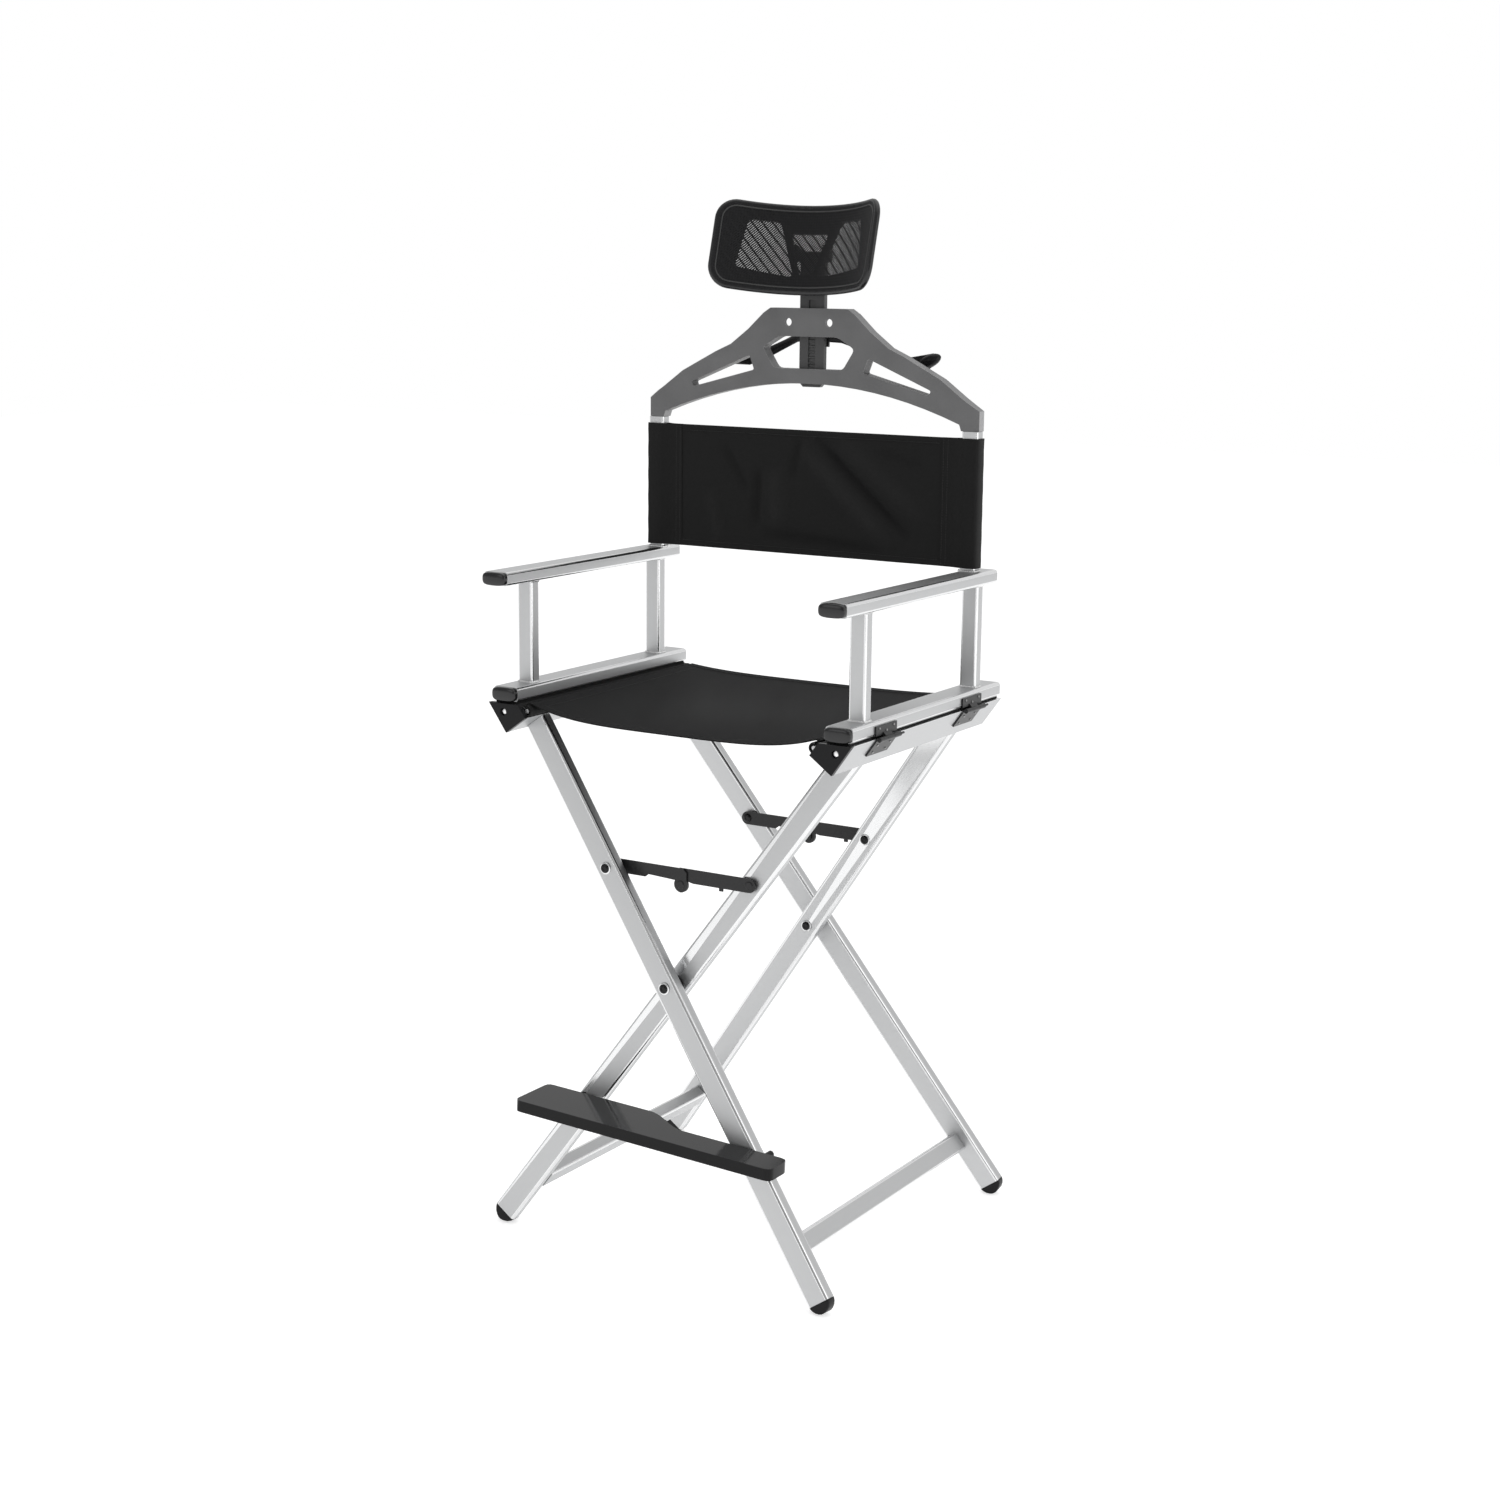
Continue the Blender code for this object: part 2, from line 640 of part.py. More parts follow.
# Seat rail section, right-hand rail seen from the front
RAIL_DOWN = Vector((-SIN_A, -COS_A))
RAIL_IN = Vector((-COS_A, SIN_A))
RAIL_CORNER = Vector((RAIL_OUTER_X, RAIL_TOP))
RAIL_BOTTOM_OUT = RAIL_CORNER + RAIL_DOWN * RAIL_SIDE
RAIL_BOTTOM_IN = RAIL_BOTTOM_OUT + RAIL_IN * RAIL_WIDTH
RAIL_TOP_IN = RAIL_BOTTOM_IN - RAIL_DOWN * ((RAIL_TOP - RAIL_BOTTOM_IN.y) / COS_A)
KEDER = Vector((KEDER_X, RAIL_TOP - KEDER_DROP))


def rail_point(in_from_face, level):
    """Point a distance in from the outer face, at a height."""
    base = RAIL_CORNER + RAIL_IN * in_from_face
    return base + RAIL_DOWN * ((base.y - level) / COS_A)


def rail_outline():
    """Rail with its round channel, as one outline that runs in and out of the slot."""
    facing = math.degrees(math.atan2(RAIL_IN.y, RAIL_IN.x))
    beyond = (KEDER - RAIL_BOTTOM_IN).dot(RAIL_IN)
    reach = math.degrees(math.acos(-beyond / KEDER_OUTER))
    slot = math.degrees(KEDER_SLOT_ANGLE)
    lip_out = math.degrees(math.asin(KEDER_SLOT / 2 / KEDER_OUTER))
    lip_in = math.degrees(math.asin(KEDER_SLOT / 2 / KEDER_BORE))
    points = [tuple(RAIL_CORNER), tuple(RAIL_BOTTOM_OUT), tuple(RAIL_BOTTOM_IN)]
    points += arc(KEDER.x, KEDER.y, KEDER_OUTER, facing + reach, slot + lip_out, 9)
    points += arc(KEDER.x, KEDER.y, KEDER_BORE, slot + lip_in, slot - lip_in + 360, 20)
    points += arc(KEDER.x, KEDER.y, KEDER_OUTER, slot - lip_out, facing - reach, 3)
    points.append(tuple(RAIL_TOP_IN))
    land = ARM_RAIL_BOTTOM - TOUCH_GAP
    points += [(LAND_INNER_X, RAIL_TOP), (LAND_INNER_X, land), (LAND_OUTER_X, land), (LAND_OUTER_X, RAIL_TOP)]
    return points


def rail_hollow(inset):
    """Inside of the rail, shrunk by an inset for the cap's stem."""
    near = RAIL_WALL + inset
    far = RAIL_WALL + RAIL_HOLLOW_WIDTH - inset
    floor = [RAIL_BOTTOM_OUT - RAIL_DOWN * near + RAIL_IN * d for d in (near, far)]
    roof = [rail_point(d, RAIL_TOP - near) for d in (far, near)]
    return [tuple(p) for p in floor + roof]


RAIL_CAP_SHAPE = [tuple(RAIL_CORNER), tuple(RAIL_BOTTOM_OUT), tuple(RAIL_BOTTOM_IN), tuple(RAIL_TOP_IN)]
SIDES = (("left", -1, "outer_frame"), ("right", 1, "inner_frame"))
for hand, side, frame in SIDES:
    bm = bmesh.new()
    ends = (RAIL_FRONT + MID_Y, RAIL_REAR + MID_Y)
    outer_loops = [loop_of(bm, [Vector((side * x, y, z)) for x, z in rail_outline()]) for y in ends]
    depths = (ends[0], ends[1] - RAIL_WALL)
    hollow_loops = [loop_of(bm, [Vector((side * x, y, z)) for x, z in rail_hollow(0)]) for y in depths]
    wall(bm, *outer_loops)
    wall(bm, *hollow_loops)
    cover(bm, [outer_loops[0], hollow_loops[0]], 1)
    cover(bm, [outer_loops[1]], 1)
    cover(bm, [hollow_loops[1]], 1)
    node(hand + "_seat_rail", bm, frame, ALUMINIUM)

# Rail caps: a plate over the front end, a stem inside the rail and a hole right through
for hand, side, frame in SIDES:
    plate = mirrored(offset(RAIL_CAP_SHAPE[::-1], -RAIL_CAP_LAP), side)
    stem = mirrored(rail_hollow(TOUCH_GAP), side)
    opening = circle(side * RAIL_CAP_HOLE_X, RAIL_TOP - RAIL_CAP_HOLE_DROP, RAIL_CAP_HOLE)
    seat_y = RAIL_FRONT + MID_Y - TOUCH_GAP
    face_y = seat_y - RAIL_CAP
    stem_y = seat_y + RAIL_CAP_STEM
    bm = bmesh.new()
    levels = ((plate, face_y), (plate, seat_y), (stem, seat_y), (stem, stem_y),
              (opening, face_y), (opening, stem_y))
    rings = [loop_of(bm, [Vector((x, y, z)) for x, z in shape]) for shape, y in levels]
    wall(bm, rings[0], rings[1])
    wall(bm, rings[2], rings[3])
    wall(bm, rings[4], rings[5])
    cover(bm, [rings[1], rings[2]], 1)
    cover(bm, [rings[0], rings[4]], 1)
    cover(bm, [rings[3], rings[5]], 1)
    node(hand + "_rail_cap", bm, frame, BLACK_PLASTIC)

# Seat rods and the hems round them
SLOT_DIR = Vector((math.cos(KEDER_SLOT_ANGLE), math.sin(KEDER_SLOT_ANGLE)))
SLOT_SIDE = Vector((-SLOT_DIR.y, SLOT_DIR.x))
TAIL_END = KEDER + SLOT_DIR * KEDER_OUTER
for hand, side, frame in SIDES:
    bm = bmesh.new()
    rod_end = Vector((side * KEDER_X, RAIL_FRONT + MID_Y, KEDER.y))
    rod_length = RAIL_REAR - RAIL_FRONT
    turned(bm, rod_end, Y_AXIS, [(0, SEAT_ROD_RADIUS), (rod_length, SEAT_ROD_RADIUS)])
    node(hand + "_seat_rod", bm, frame, ALUMINIUM)
    slot = math.degrees(KEDER_SLOT_ANGLE)
    spread = math.degrees(math.asin(CLOTH / 2 / HEM_RADIUS))
    outline = arc(KEDER.x, KEDER.y, HEM_RADIUS, slot + spread, slot - spread + 360, 20)
    outline += [tuple(TAIL_END - SLOT_SIDE * (CLOTH / 2)), tuple(TAIL_END + SLOT_SIDE * (CLOTH / 2))]
    bm = bmesh.new()
    bore = circle(side * KEDER_X, KEDER.y, SEAT_ROD_RADIUS + TOUCH_GAP)
    prism(bm, mirrored(outline, side), [bore], SEAT_FRONT + MID_Y, SEAT_REAR + MID_Y)
    node(hand + "_seat_hem", bm, frame, CANVAS)


def sheet(bm, columns, rows, surface):
    """Closed sheet from a surface function of two 0-1 values and a side (-1 or +1)."""
    grids = [[[bm.verts.new(surface(i / columns, j / rows, s)) for j in range(rows + 1)]
              for i in range(columns + 1)] for s in (-1, 1)]
    for grid in grids:
        for i in range(columns):
            for j in range(rows):
                bm.faces.new((grid[i][j], grid[i + 1][j], grid[i + 1][j + 1], grid[i][j + 1]))
    rims = []
    for grid in grids:
        rim = [grid[i][0] for i in range(columns)] + [grid[columns][j] for j in range(rows)]
        rim += [grid[i][rows] for i in range(columns, 0, -1)] + [grid[0][j] for j in range(rows, 0, -1)]
        rims.append(rim)
    wall(bm, rims[0], rims[1])


WRAP_RADIUS = KEDER_OUTER + TOUCH_GAP + CLOTH / 2
WRAP_START = KEDER_SLOT_ANGLE - math.asin(CLOTH / 2 / WRAP_RADIUS)
WRAP_FROM = 1 - 2 * SEAT_WRAP_COLUMNS / SEAT_COLUMNS


def seat_surface(u, v, s):
    """Sling from slot to slot: over the round channel, off it at a slope, and down to its sag in the middle."""
    across = abs(2 * u - 1)
    sag = SEAT_SAG_FRONT + (SEAT_SAG_REAR - SEAT_SAG_FRONT) * v + SEAT_SAG_MIDDLE * 4 * v * (1 - v)
    slope = math.atan(SEAT_SAG_POWER * sag / KEDER_X)
    leave = math.pi / 2 + slope
    if across > WRAP_FROM:
        angle = leave + (WRAP_START - leave) * (across - WRAP_FROM) / (1 - WRAP_FROM)
        middle, normal = KEDER, Vector((math.cos(angle), math.sin(angle)))
        reach = WRAP_RADIUS
    else:
        edge = KEDER + WRAP_RADIUS * Vector((math.cos(leave), math.sin(leave)))
        share = across / WRAP_FROM
        depth = math.tan(slope) * edge.x / SEAT_SAG_POWER
        middle = Vector((edge.x * share, edge.y - depth * (1 - share ** SEAT_SAG_POWER)))
        normal = Vector((-math.tan(slope) * share ** (SEAT_SAG_POWER - 1), 1)).normalized()
        reach = 0.0
    x, z = middle + normal * (reach + s * CLOTH / 2)
    y = SEAT_FRONT + (SEAT_REAR - SEAT_FRONT) * v + MID_Y
    return Vector((math.copysign(x, 2 * u - 1), y, z))


bm = bmesh.new()
sheet(bm, SEAT_COLUMNS, 8, seat_surface)
node("seat_sling", bm, "outer_frame", CANVAS)


def end_cap(bm, centre, u, v, outwards, size, wall_thick):
    """Rounded end cap with a stem inside the tube."""
    width, depth, radius = size
    inside = 2 * wall_thick + 2 * TOUCH_GAP
    bore = (width - inside, depth - inside, radius - BORE_CORNER * wall_thick)
    steps = [(-CAP_STEM, *bore), (TOUCH_GAP, *bore), (TOUCH_GAP, *size), (CAP_LENGTH - CAP_ROUND, *size)]
    for a in (30, 60, 85):
        shrink = 2 * CAP_ROUND * (1 - math.cos(math.radians(a)))
        rise = CAP_ROUND * math.sin(math.radians(a))
        steps.append((CAP_LENGTH - CAP_ROUND + rise, width - shrink, depth - shrink, radius * 0.9))
    rings = [[centre + outwards * s + u * a + v * b for a, b in rounded_box(w, d, r)] for s, w, d, r in steps]
    loft(bm, rings)


# Arm frames
RAIL_SIZE = (ARM_RAIL_WIDTH, ARM_RAIL_HEIGHT, ARM_RADIUS)
REST_SIZE = (ARMREST_WIDTH, ARMREST_HEIGHT, ARM_RADIUS)
POST_SIZE = (POST_WIDTH, POST_DEPTH, POST_RADIUS)
ARM_RAIL_Z = (ARM_RAIL_BOTTOM + ARM_RAIL_TOP) / 2
ARMREST_Z = (ARMREST_BOTTOM + ARMREST_TOP) / 2
for hand, side, frame in SIDES:
    arm = hand + "_arm"
    for name, size, z, front, rear in (("_arm_rail", RAIL_SIZE, ARM_RAIL_Z, ARM_RAIL_FRONT, ARM_RAIL_REAR),
                                       ("_armrest", REST_SIZE, ARMREST_Z, ARMREST_FRONT, ARMREST_REAR)):
        ends = [Vector((side * ARM_X, y + MID_Y, z)) for y in (front, rear)]
        bm = bmesh.new()
        tube(bm, size, ARM_WALL, ends[0], X_AXIS, Z_AXIS, Y_AXIS,
             ((ends[0], Y_AXIS), (ends[1], Y_AXIS)), True)
        node(hand + name, bm, arm, ALUMINIUM)
        bm = bmesh.new()
        end_cap(bm, ends[0], X_AXIS, Z_AXIS, -Y_AXIS, size, ARM_WALL)
        node(hand + name + "_cap", bm, arm, BLACK_PLASTIC)
    under_rest = ARMREST_BOTTOM - TOUCH_GAP
    for name, x, y, low, high in (("_front_post", ARM_X, FRONT_POST_Y, ARM_RAIL_TOP, under_rest),
                                  ("_rear_post", ARM_X, REAR_POST_Y, ARM_RAIL_TOP, under_rest),
                                  ("_back_post", BACK_POST_X, REAR_POST_Y, ARMREST_TOP, BACK_POST_TOP)):
        ends = [Vector((side * x, y + MID_Y, z)) for z in (low + TOUCH_GAP, high)]
        plugged = name == "_back_post" and side > 0
        bm = bmesh.new()
        tube(bm, POST_SIZE, POST_WALL, ends[0], X_AXIS, Y_AXIS, Z_AXIS,
             ((ends[0], Z_AXIS), (ends[1], Z_AXIS)), plugged)
        node(hand + name, bm, arm, ALUMINIUM)

# Arm hinges: the lower leaf has the outer knuckles and carries the pin, the upper leaf the middle one
KNUCKLE = HINGE_WIDTH / 3
BARREL = Vector((HINGE_X, HINGE_Z))
UPPER_IN = ARM_X + ARM_RAIL_WIDTH / 2 + TOUCH_GAP
UPPER_OUT = UPPER_IN + HINGE_LEAF
UPPER_LOW = ARM_RAIL_BOTTOM + 0.001
FACE_ANGLE = math.degrees(math.atan2(RAIL_DOWN.y, RAIL_DOWN.x))


def on_lower_face(down, out):
    """Point below the rail's top corner and out from its tilted side."""
    return tuple(RAIL_CORNER + RAIL_DOWN * down - RAIL_IN * out)


LOWER_IN = TOUCH_GAP
LOWER_OUT = TOUCH_GAP + HINGE_LEAF
lower_plate = [on_lower_face(HINGE_NECK - NECK_LAP, LOWER_IN), on_lower_face(HINGE_LOWER_LENGTH, LOWER_IN),
               on_lower_face(HINGE_LOWER_LENGTH, LOWER_OUT), on_lower_face(HINGE_NECK - NECK_LAP, LOWER_OUT)]
lower_knuckle = [on_lower_face(HINGE_NECK, LOWER_OUT)]
lower_knuckle += arc(BARREL.x, BARREL.y, HINGE_BARREL, FACE_ANGLE - 25, FACE_ANGLE + 255, 10)
lower_knuckle += [on_lower_face(NECK_LAP, LOWER_IN), on_lower_face(HINGE_NECK, LOWER_IN)]
upper_plate = [(UPPER_IN, UPPER_LOW), (UPPER_OUT, UPPER_LOW),
               (UPPER_OUT, ARM_RAIL_BOTTOM + HINGE_UPPER_TOP), (UPPER_IN, ARM_RAIL_BOTTOM + HINGE_UPPER_TOP)]
upper_knuckle = [(UPPER_OUT, UPPER_LOW + HINGE_NECK)]
upper_knuckle += arc(BARREL.x, BARREL.y, HINGE_BARREL, 95, -210, 10)
upper_knuckle += [(UPPER_IN, UPPER_LOW), (UPPER_IN, UPPER_LOW + HINGE_NECK)]
HINGE_NAMES = ("front", "rear")
for hand, side, frame in SIDES:
    bore = circle(side * BARREL.x, BARREL.y, HINGE_PIN + HINGE_BORE_GAP, 10)
    for which, start in zip(HINGE_NAMES, HINGE_STARTS):
        y = start + MID_Y
        bm = bmesh.new()
        prism(bm, mirrored(lower_plate, side), [], y, y + HINGE_WIDTH)
        leaf = node(hand + "_" + which + "_hinge_base", bm, frame, BLACK_STEEL)
        bm = bmesh.new()
        for first, last in ((0, KNUCKLE - RUN_GAP), (2 * KNUCKLE + RUN_GAP, HINGE_WIDTH)):
            prism(bm, mirrored(lower_knuckle, side), [], y + first, y + last)
        combine(leaf, bm, "UNION")
        bm = bmesh.new()
        turned(bm, (side * BARREL.x, y + KNUCKLE / 2, BARREL.y), Y_AXIS,
               [(0, HINGE_PIN), (HINGE_WIDTH - KNUCKLE / 2 + HINGE_PIN_TAIL, HINGE_PIN)], 10)
        combine(leaf, bm, "UNION")
        bm = bmesh.new()
        prism(bm, mirrored(upper_plate, side), [], y, y + HINGE_WIDTH)
        leaf = node(hand + "_" + which + "_hinge_leaf", bm, hand + "_arm", BLACK_STEEL)
        bm = bmesh.new()
        prism(bm, mirrored(upper_knuckle, side), [bore], y + KNUCKLE, y + 2 * KNUCKLE)
        combine(leaf, bm, "UNION")

# Crossing bolts, each with its spacer and nut
for end, first, second in (("front", OUTER_FRONT, INNER_FRONT), ("rear", INNER_REAR, OUTER_REAR)):
    lift = NUT_RADIUS * first.slope + TOUCH_GAP
    inset = SPACER_RADIUS * first.slope + TOUCH_GAP
    head_y = first.face_y(-1, 0) - lift - BOLT_HEAD
    spacer = [face - head_y for face in (first.face_y(1, 0) + inset, second.face_y(-1, 0) - inset)]
    nut = second.face_y(1, 0) + lift - head_y
    bm = bmesh.new()
    turned(bm, (0, head_y + MID_Y, PIVOT_Z), Y_AXIS,
           [(0, BOLT_HEAD_RADIUS * HEAD_TAPER), (BOLT_HEAD / 3, BOLT_HEAD_RADIUS),
            (BOLT_HEAD, BOLT_HEAD_RADIUS), (BOLT_HEAD, BOLT_RADIUS), (spacer[0], BOLT_RADIUS),
            (spacer[0], SPACER_RADIUS), (spacer[1], SPACER_RADIUS), (spacer[1], BOLT_RADIUS), (nut, BOLT_RADIUS), (nut, NUT_RADIUS),
            (nut + NUT_HEIGHT, NUT_RADIUS), (nut + NUT_HEIGHT, BOLT_RADIUS),
            (nut + NUT_HEIGHT + BOLT_HEAD, BOLT_RADIUS)])
    node(end + "_crossing_bolt", bm, "outer_frame", STEEL)

# Folding braces: the outer link swings on the outer leg, the inner link reaches the inner leg
DISC_LIFT = BRACE_DISC * math.sin(math.radians(30))
DISC_REACH = BRACE_DISC * math.cos(math.radians(30))
OUTER_EDGE = [(STEP_START, -BRACE_HALF), (STEP_END, -STEP_HALF)]
TAB_EDGE = -BRACE_HALF - TAB_DROP
INNER_EDGE = [(TAB_START, -BRACE_HALF), (TAB_START, TAB_EDGE), (TAB_END, TAB_EDGE), (TAB_END, -BRACE_HALF),
              (BRACE_X - 2 * DISC_REACH, -BRACE_HALF)]


def link_outline(lower_edge):
    """Link from its end pivot to the knuckle disc that hangs below the bar."""
    points = arc(0, 0, BRACE_HALF, 90, 270, 10) + lower_edge
    points += arc(BRACE_X, -BRACE_KNUCKLE_DROP, BRACE_DISC, 150, 390, 14)
    corner = BRACE_X + DISC_REACH
    return points + [(corner, BRACE_HALF - DISC_LIFT), (corner - DISC_LIFT, BRACE_HALF)]


LINK_HOLE = BRACE_PIN + BOLT_HOLE_GAP
HEAD_PROFILE = [(0, BRACE_HEAD_RADIUS * HEAD_TAPER), (BRACE_HEAD / 2, BRACE_HEAD_RADIUS),
                (BRACE_HEAD, BRACE_HEAD_RADIUS)]
BOLT_PROFILE = [(0, BRACE_HEAD_RADIUS * HEAD_TAPER), (BOLT_HEAD / 3, BRACE_HEAD_RADIUS),
                (BOLT_HEAD, BRACE_HEAD_RADIUS)]
RIVET_LAP = BRACE_PLATE / 4


def outer_place(x, y, z):
    return Vector((x - BRACE_X, y, z + BRACE_Z))


def inner_place(x, y, z):
    return Vector((BRACE_X - x, y, z + BRACE_Z))


for end, outer, inner, towards in (("front", OUTER_FRONT, INNER_FRONT, 1),
                                   ("rear", OUTER_REAR, INNER_REAR, -1)):
    leg_face = outer.face_y(towards, -BRACE_UP) + MID_Y
    far_face = inner.face_y(-towards, -BRACE_UP) + MID_Y
    axis = Y_AXIS * towards
    head_lift = BRACE_HEAD_RADIUS * outer.slope + TOUCH_GAP
    outer_near = leg_face + towards * (outer.slope * BRACE_SWEEP + TOUCH_GAP)
    outer_far = outer_near + towards * BRACE_PLATE
    inner_near = outer_far + towards * RUN_GAP
    inner_far = inner_near + towards * BRACE_PLATE

    bm = bmesh.new()
    prism(bm, link_outline(OUTER_EDGE), [], outer_near, outer_far, 1, outer_place)
    link = node(end + "_outer_link", bm, end + "_brace_outer", BLACK_STEEL)
    drill = bmesh.new()
    turned(drill, (-BRACE_X, outer_near - towards * BRACE_HEAD, BRACE_Z), axis,
           [(0, LINK_HOLE), (2 * BRACE_HEAD + BRACE_PLATE, LINK_HOLE)])
    combine(link, drill, "DIFFERENCE")
    through = BRACE_HEAD + 2 * BRACE_PLATE + 2 * RUN_GAP
    bm = bmesh.new()
    turned(bm, (0, outer_near - towards * (BRACE_HEAD - RIVET_LAP), KNUCKLE_Z), axis,
           HEAD_PROFILE + [(BRACE_HEAD, BRACE_PIN), (through, BRACE_PIN), (through, BRACE_COLLAR),
                           (through + BRACE_HEAD, BRACE_COLLAR)])
    combine(link, bm, "UNION")

    bm = bmesh.new()
    prism(bm, link_outline(INNER_EDGE), [], inner_near, inner_far, 1, inner_place)
    link = node(end + "_inner_link", bm, end + "_brace_inner", BLACK_STEEL)
    drill = bmesh.new()
    turned(drill, (0, inner_near - towards * BRACE_HEAD, KNUCKLE_Z), axis,
           [(0, LINK_HOLE), (2 * BRACE_HEAD + BRACE_PLATE, LINK_HOLE)])
    combine(link, drill, "DIFFERENCE")
    stub_end = BRACE_HEAD - RIVET_LAP + abs(far_face - inner_near) - BRACE_COLLAR * outer.slope - TOUCH_GAP
    bm = bmesh.new()
    turned(bm, (BRACE_X, inner_near - towards * (BRACE_HEAD - RIVET_LAP), BRACE_Z), axis,
           HEAD_PROFILE + [(BRACE_HEAD, BRACE_COLLAR), (stub_end, BRACE_COLLAR)])
    combine(link, bm, "UNION")

    head_y = outer.face_y(-towards, -BRACE_UP) + MID_Y - towards * (head_lift + BOLT_HEAD)
    collar_start = abs(leg_face - head_y) + head_lift
    collar_end = abs(outer_near - head_y) - RUN_GAP
    pin_end = abs(outer_far - head_y) + RUN_GAP
    bm = bmesh.new()
    turned(bm, (-BRACE_X, head_y, BRACE_Z), axis,
           BOLT_PROFILE +
           [(BOLT_HEAD, BRACE_PIN), (collar_start, BRACE_PIN), (collar_start, BRACE_COLLAR),
            (collar_end, BRACE_COLLAR), (collar_end, BRACE_PIN), (pin_end, BRACE_PIN),
            (pin_end, BRACE_HEAD_RADIUS), (pin_end + BRACE_HEAD, BRACE_HEAD_RADIUS * HEAD_TAPER)])
    node(end + "_brace_bolt", bm, "outer_frame", STEEL)

# Footrest bolt
head_lift = BRACE_HEAD_RADIUS * OUTER_FRONT.slope + TOUCH_GAP
bolt_face = OUTER_FRONT.face_y(1, FOOTREST_BOLT_DOWN) + MID_Y + head_lift
bolt_length = LEG_DEPTH + FOOTREST_BOLT_REACH + head_lift + BOLT_HEAD
bm = bmesh.new()
turned(bm, (FOOTREST_BOLT_X, bolt_face + BOLT_HEAD, FOOTREST_BOLT_Z), -Y_AXIS,
       BOLT_PROFILE + [(BOLT_HEAD, BRACE_PIN), (bolt_length, BRACE_PIN)])
node("footrest_bolt", bm, "outer_frame", STEEL)

# Footrest board, in its own level frame round the bolt and then tipped down to the right
SLOPE_COS = math.cos(FOOTREST_SLOPE)
SLOPE_SIN = math.sin(FOOTREST_SLOPE)
BOARD_HALF = FOOTREST_THICK / 2


def board_place(x, y, z):
    """Board point, x and z from the bolt, to its place on the chair."""
    return Vector((FOOTREST_BOLT_X + x * SLOPE_COS + z * SLOPE_SIN, y + MID_Y,
                   FOOTREST_BOLT_Z - x * SLOPE_SIN + z * SLOPE_COS))


def leg_front_near(leg, x, dip=0.0):
    """Foremost Y of a leg's face behind the board's lower edge near a board x, with room to dip."""
    low = board_place(x, 0, -BOARD_HALF).z - dip
    return leg.face_y(-1, (PIVOT_Z - low) / COS_A + LEG_WIDTH / 2 * TAN_A) - TOUCH_GAP


BOARD_LEFT = FOOTREST_LEFT - FOOTREST_BOLT_X
BOARD_RIGHT = FOOTREST_RIGHT - FOOTREST_BOLT_X
BOARD_CURVE = [x - FOOTREST_BOLT_X for x in FOOTREST_CURVE]
DEEP_BACK = leg_front_near(INNER_FRONT, BOARD_LEFT / 2 - FOOTREST_BOLT_X)
SHALLOW_BACK = leg_front_near(OUTER_FRONT, LEG_WIDTH, FOOTREST_DIP)


def board_back(x):
    """Back edge: deep at the left to reach the inner leg, shallow at the right in front of the outer leg."""
    t = min(max((x - BOARD_CURVE[0]) / (BOARD_CURVE[1] - BOARD_CURVE[0]), 0.0), 1.0)
    return DEEP_BACK + (SHALLOW_BACK - DEEP_BACK) * t * t * (3 - 2 * t)


def spread_points(start, end, count):
    return [start + (end - start) * k / (count - 1) for k in range(count)]


curve_points = [(x, board_back(x)) for x in spread_points(BOARD_CURVE[1], BOARD_CURVE[0], 11)]
board_corners = [(BOARD_LEFT, board_back(BOARD_LEFT)), (BOARD_LEFT, FOOTREST_FRONT),
                 (BOARD_RIGHT, FOOTREST_FRONT), (BOARD_RIGHT, board_back(BOARD_RIGHT))]
front_corners = rounded(board_corners, FOOTREST_CORNER)
bm = bmesh.new()
prism(bm, front_corners + curve_points, [], -BOARD_HALF, BOARD_HALF, 2, board_place)
board = node("footrest_board", bm, "footrest", GREY_PLASTIC)

PIN_RISE = BOARD_HALF - FOOTREST_WALL - TOUCH_GAP - FOOTREST_PIN
pin_run = (PIVOT_Z - FOOTREST_BOLT_Z - PIN_RISE * SLOPE_COS) * TAN_A + FOOTREST_BOLT_X + PIN_RISE * SLOPE_SIN
PIN_X = -pin_run / (SLOPE_COS + SLOPE_SIN * TAN_A)
boss = (FOOTREST_BOSS - FOOTREST_RIB) / 2
cell_edges = spread_points(BOARD_LEFT + FOOTREST_WALL, -boss, FOOTREST_CELLS + 1)
cells = list(zip(cell_edges, cell_edges[1:])) + [(boss, BOARD_RIGHT - FOOTREST_WALL)]
bm = bmesh.new()
for index, (left, right) in enumerate(cells):
    left += FOOTREST_RIB / 2 if index else 0.0
    right -= FOOTREST_RIB / 2 if index < len(cells) - 1 else 0.0
    back = [(x, board_back(x) - FOOTREST_WALL) for x in spread_points(right, left, 8)]
    prism(bm, [(left, FOOTREST_FRONT + FOOTREST_WALL), (right, FOOTREST_FRONT + FOOTREST_WALL)] + back, [],
          -BOARD_HALF - CUT_PAST, BOARD_HALF - FOOTREST_WALL, 2, board_place)
combine(board, bm, "DIFFERENCE")

bm = bmesh.new()
peg_back = board_back(FOOTREST_PEG_X) + MID_Y
stud_x = BOARD_CURVE[0] + (BOARD_CURVE[1] - BOARD_CURVE[0]) * FOOTREST_STUD_SHARE
stud_back = board_back(stud_x) + MID_Y
peg_at = board_place(FOOTREST_PEG_X, 0, FOOTREST_PEG_RISE)
stud_at = board_place(stud_x, 0, FOOTREST_PEG_RISE)
EMBED = FOOTREST_WALL * 0.6
turned(bm, (peg_at.x, peg_back - EMBED, peg_at.z), Y_AXIS,
       [(0, FOOTREST_PEG), (FOOTREST_PEG_LENGTH + EMBED, FOOTREST_PEG)])
turned(bm, (stud_at.x, stud_back - EMBED, stud_at.z), Y_AXIS,
       [(0, FOOTREST_STUD), (FOOTREST_PEG + EMBED, FOOTREST_STUD)], 12)
combine(board, bm, "UNION")

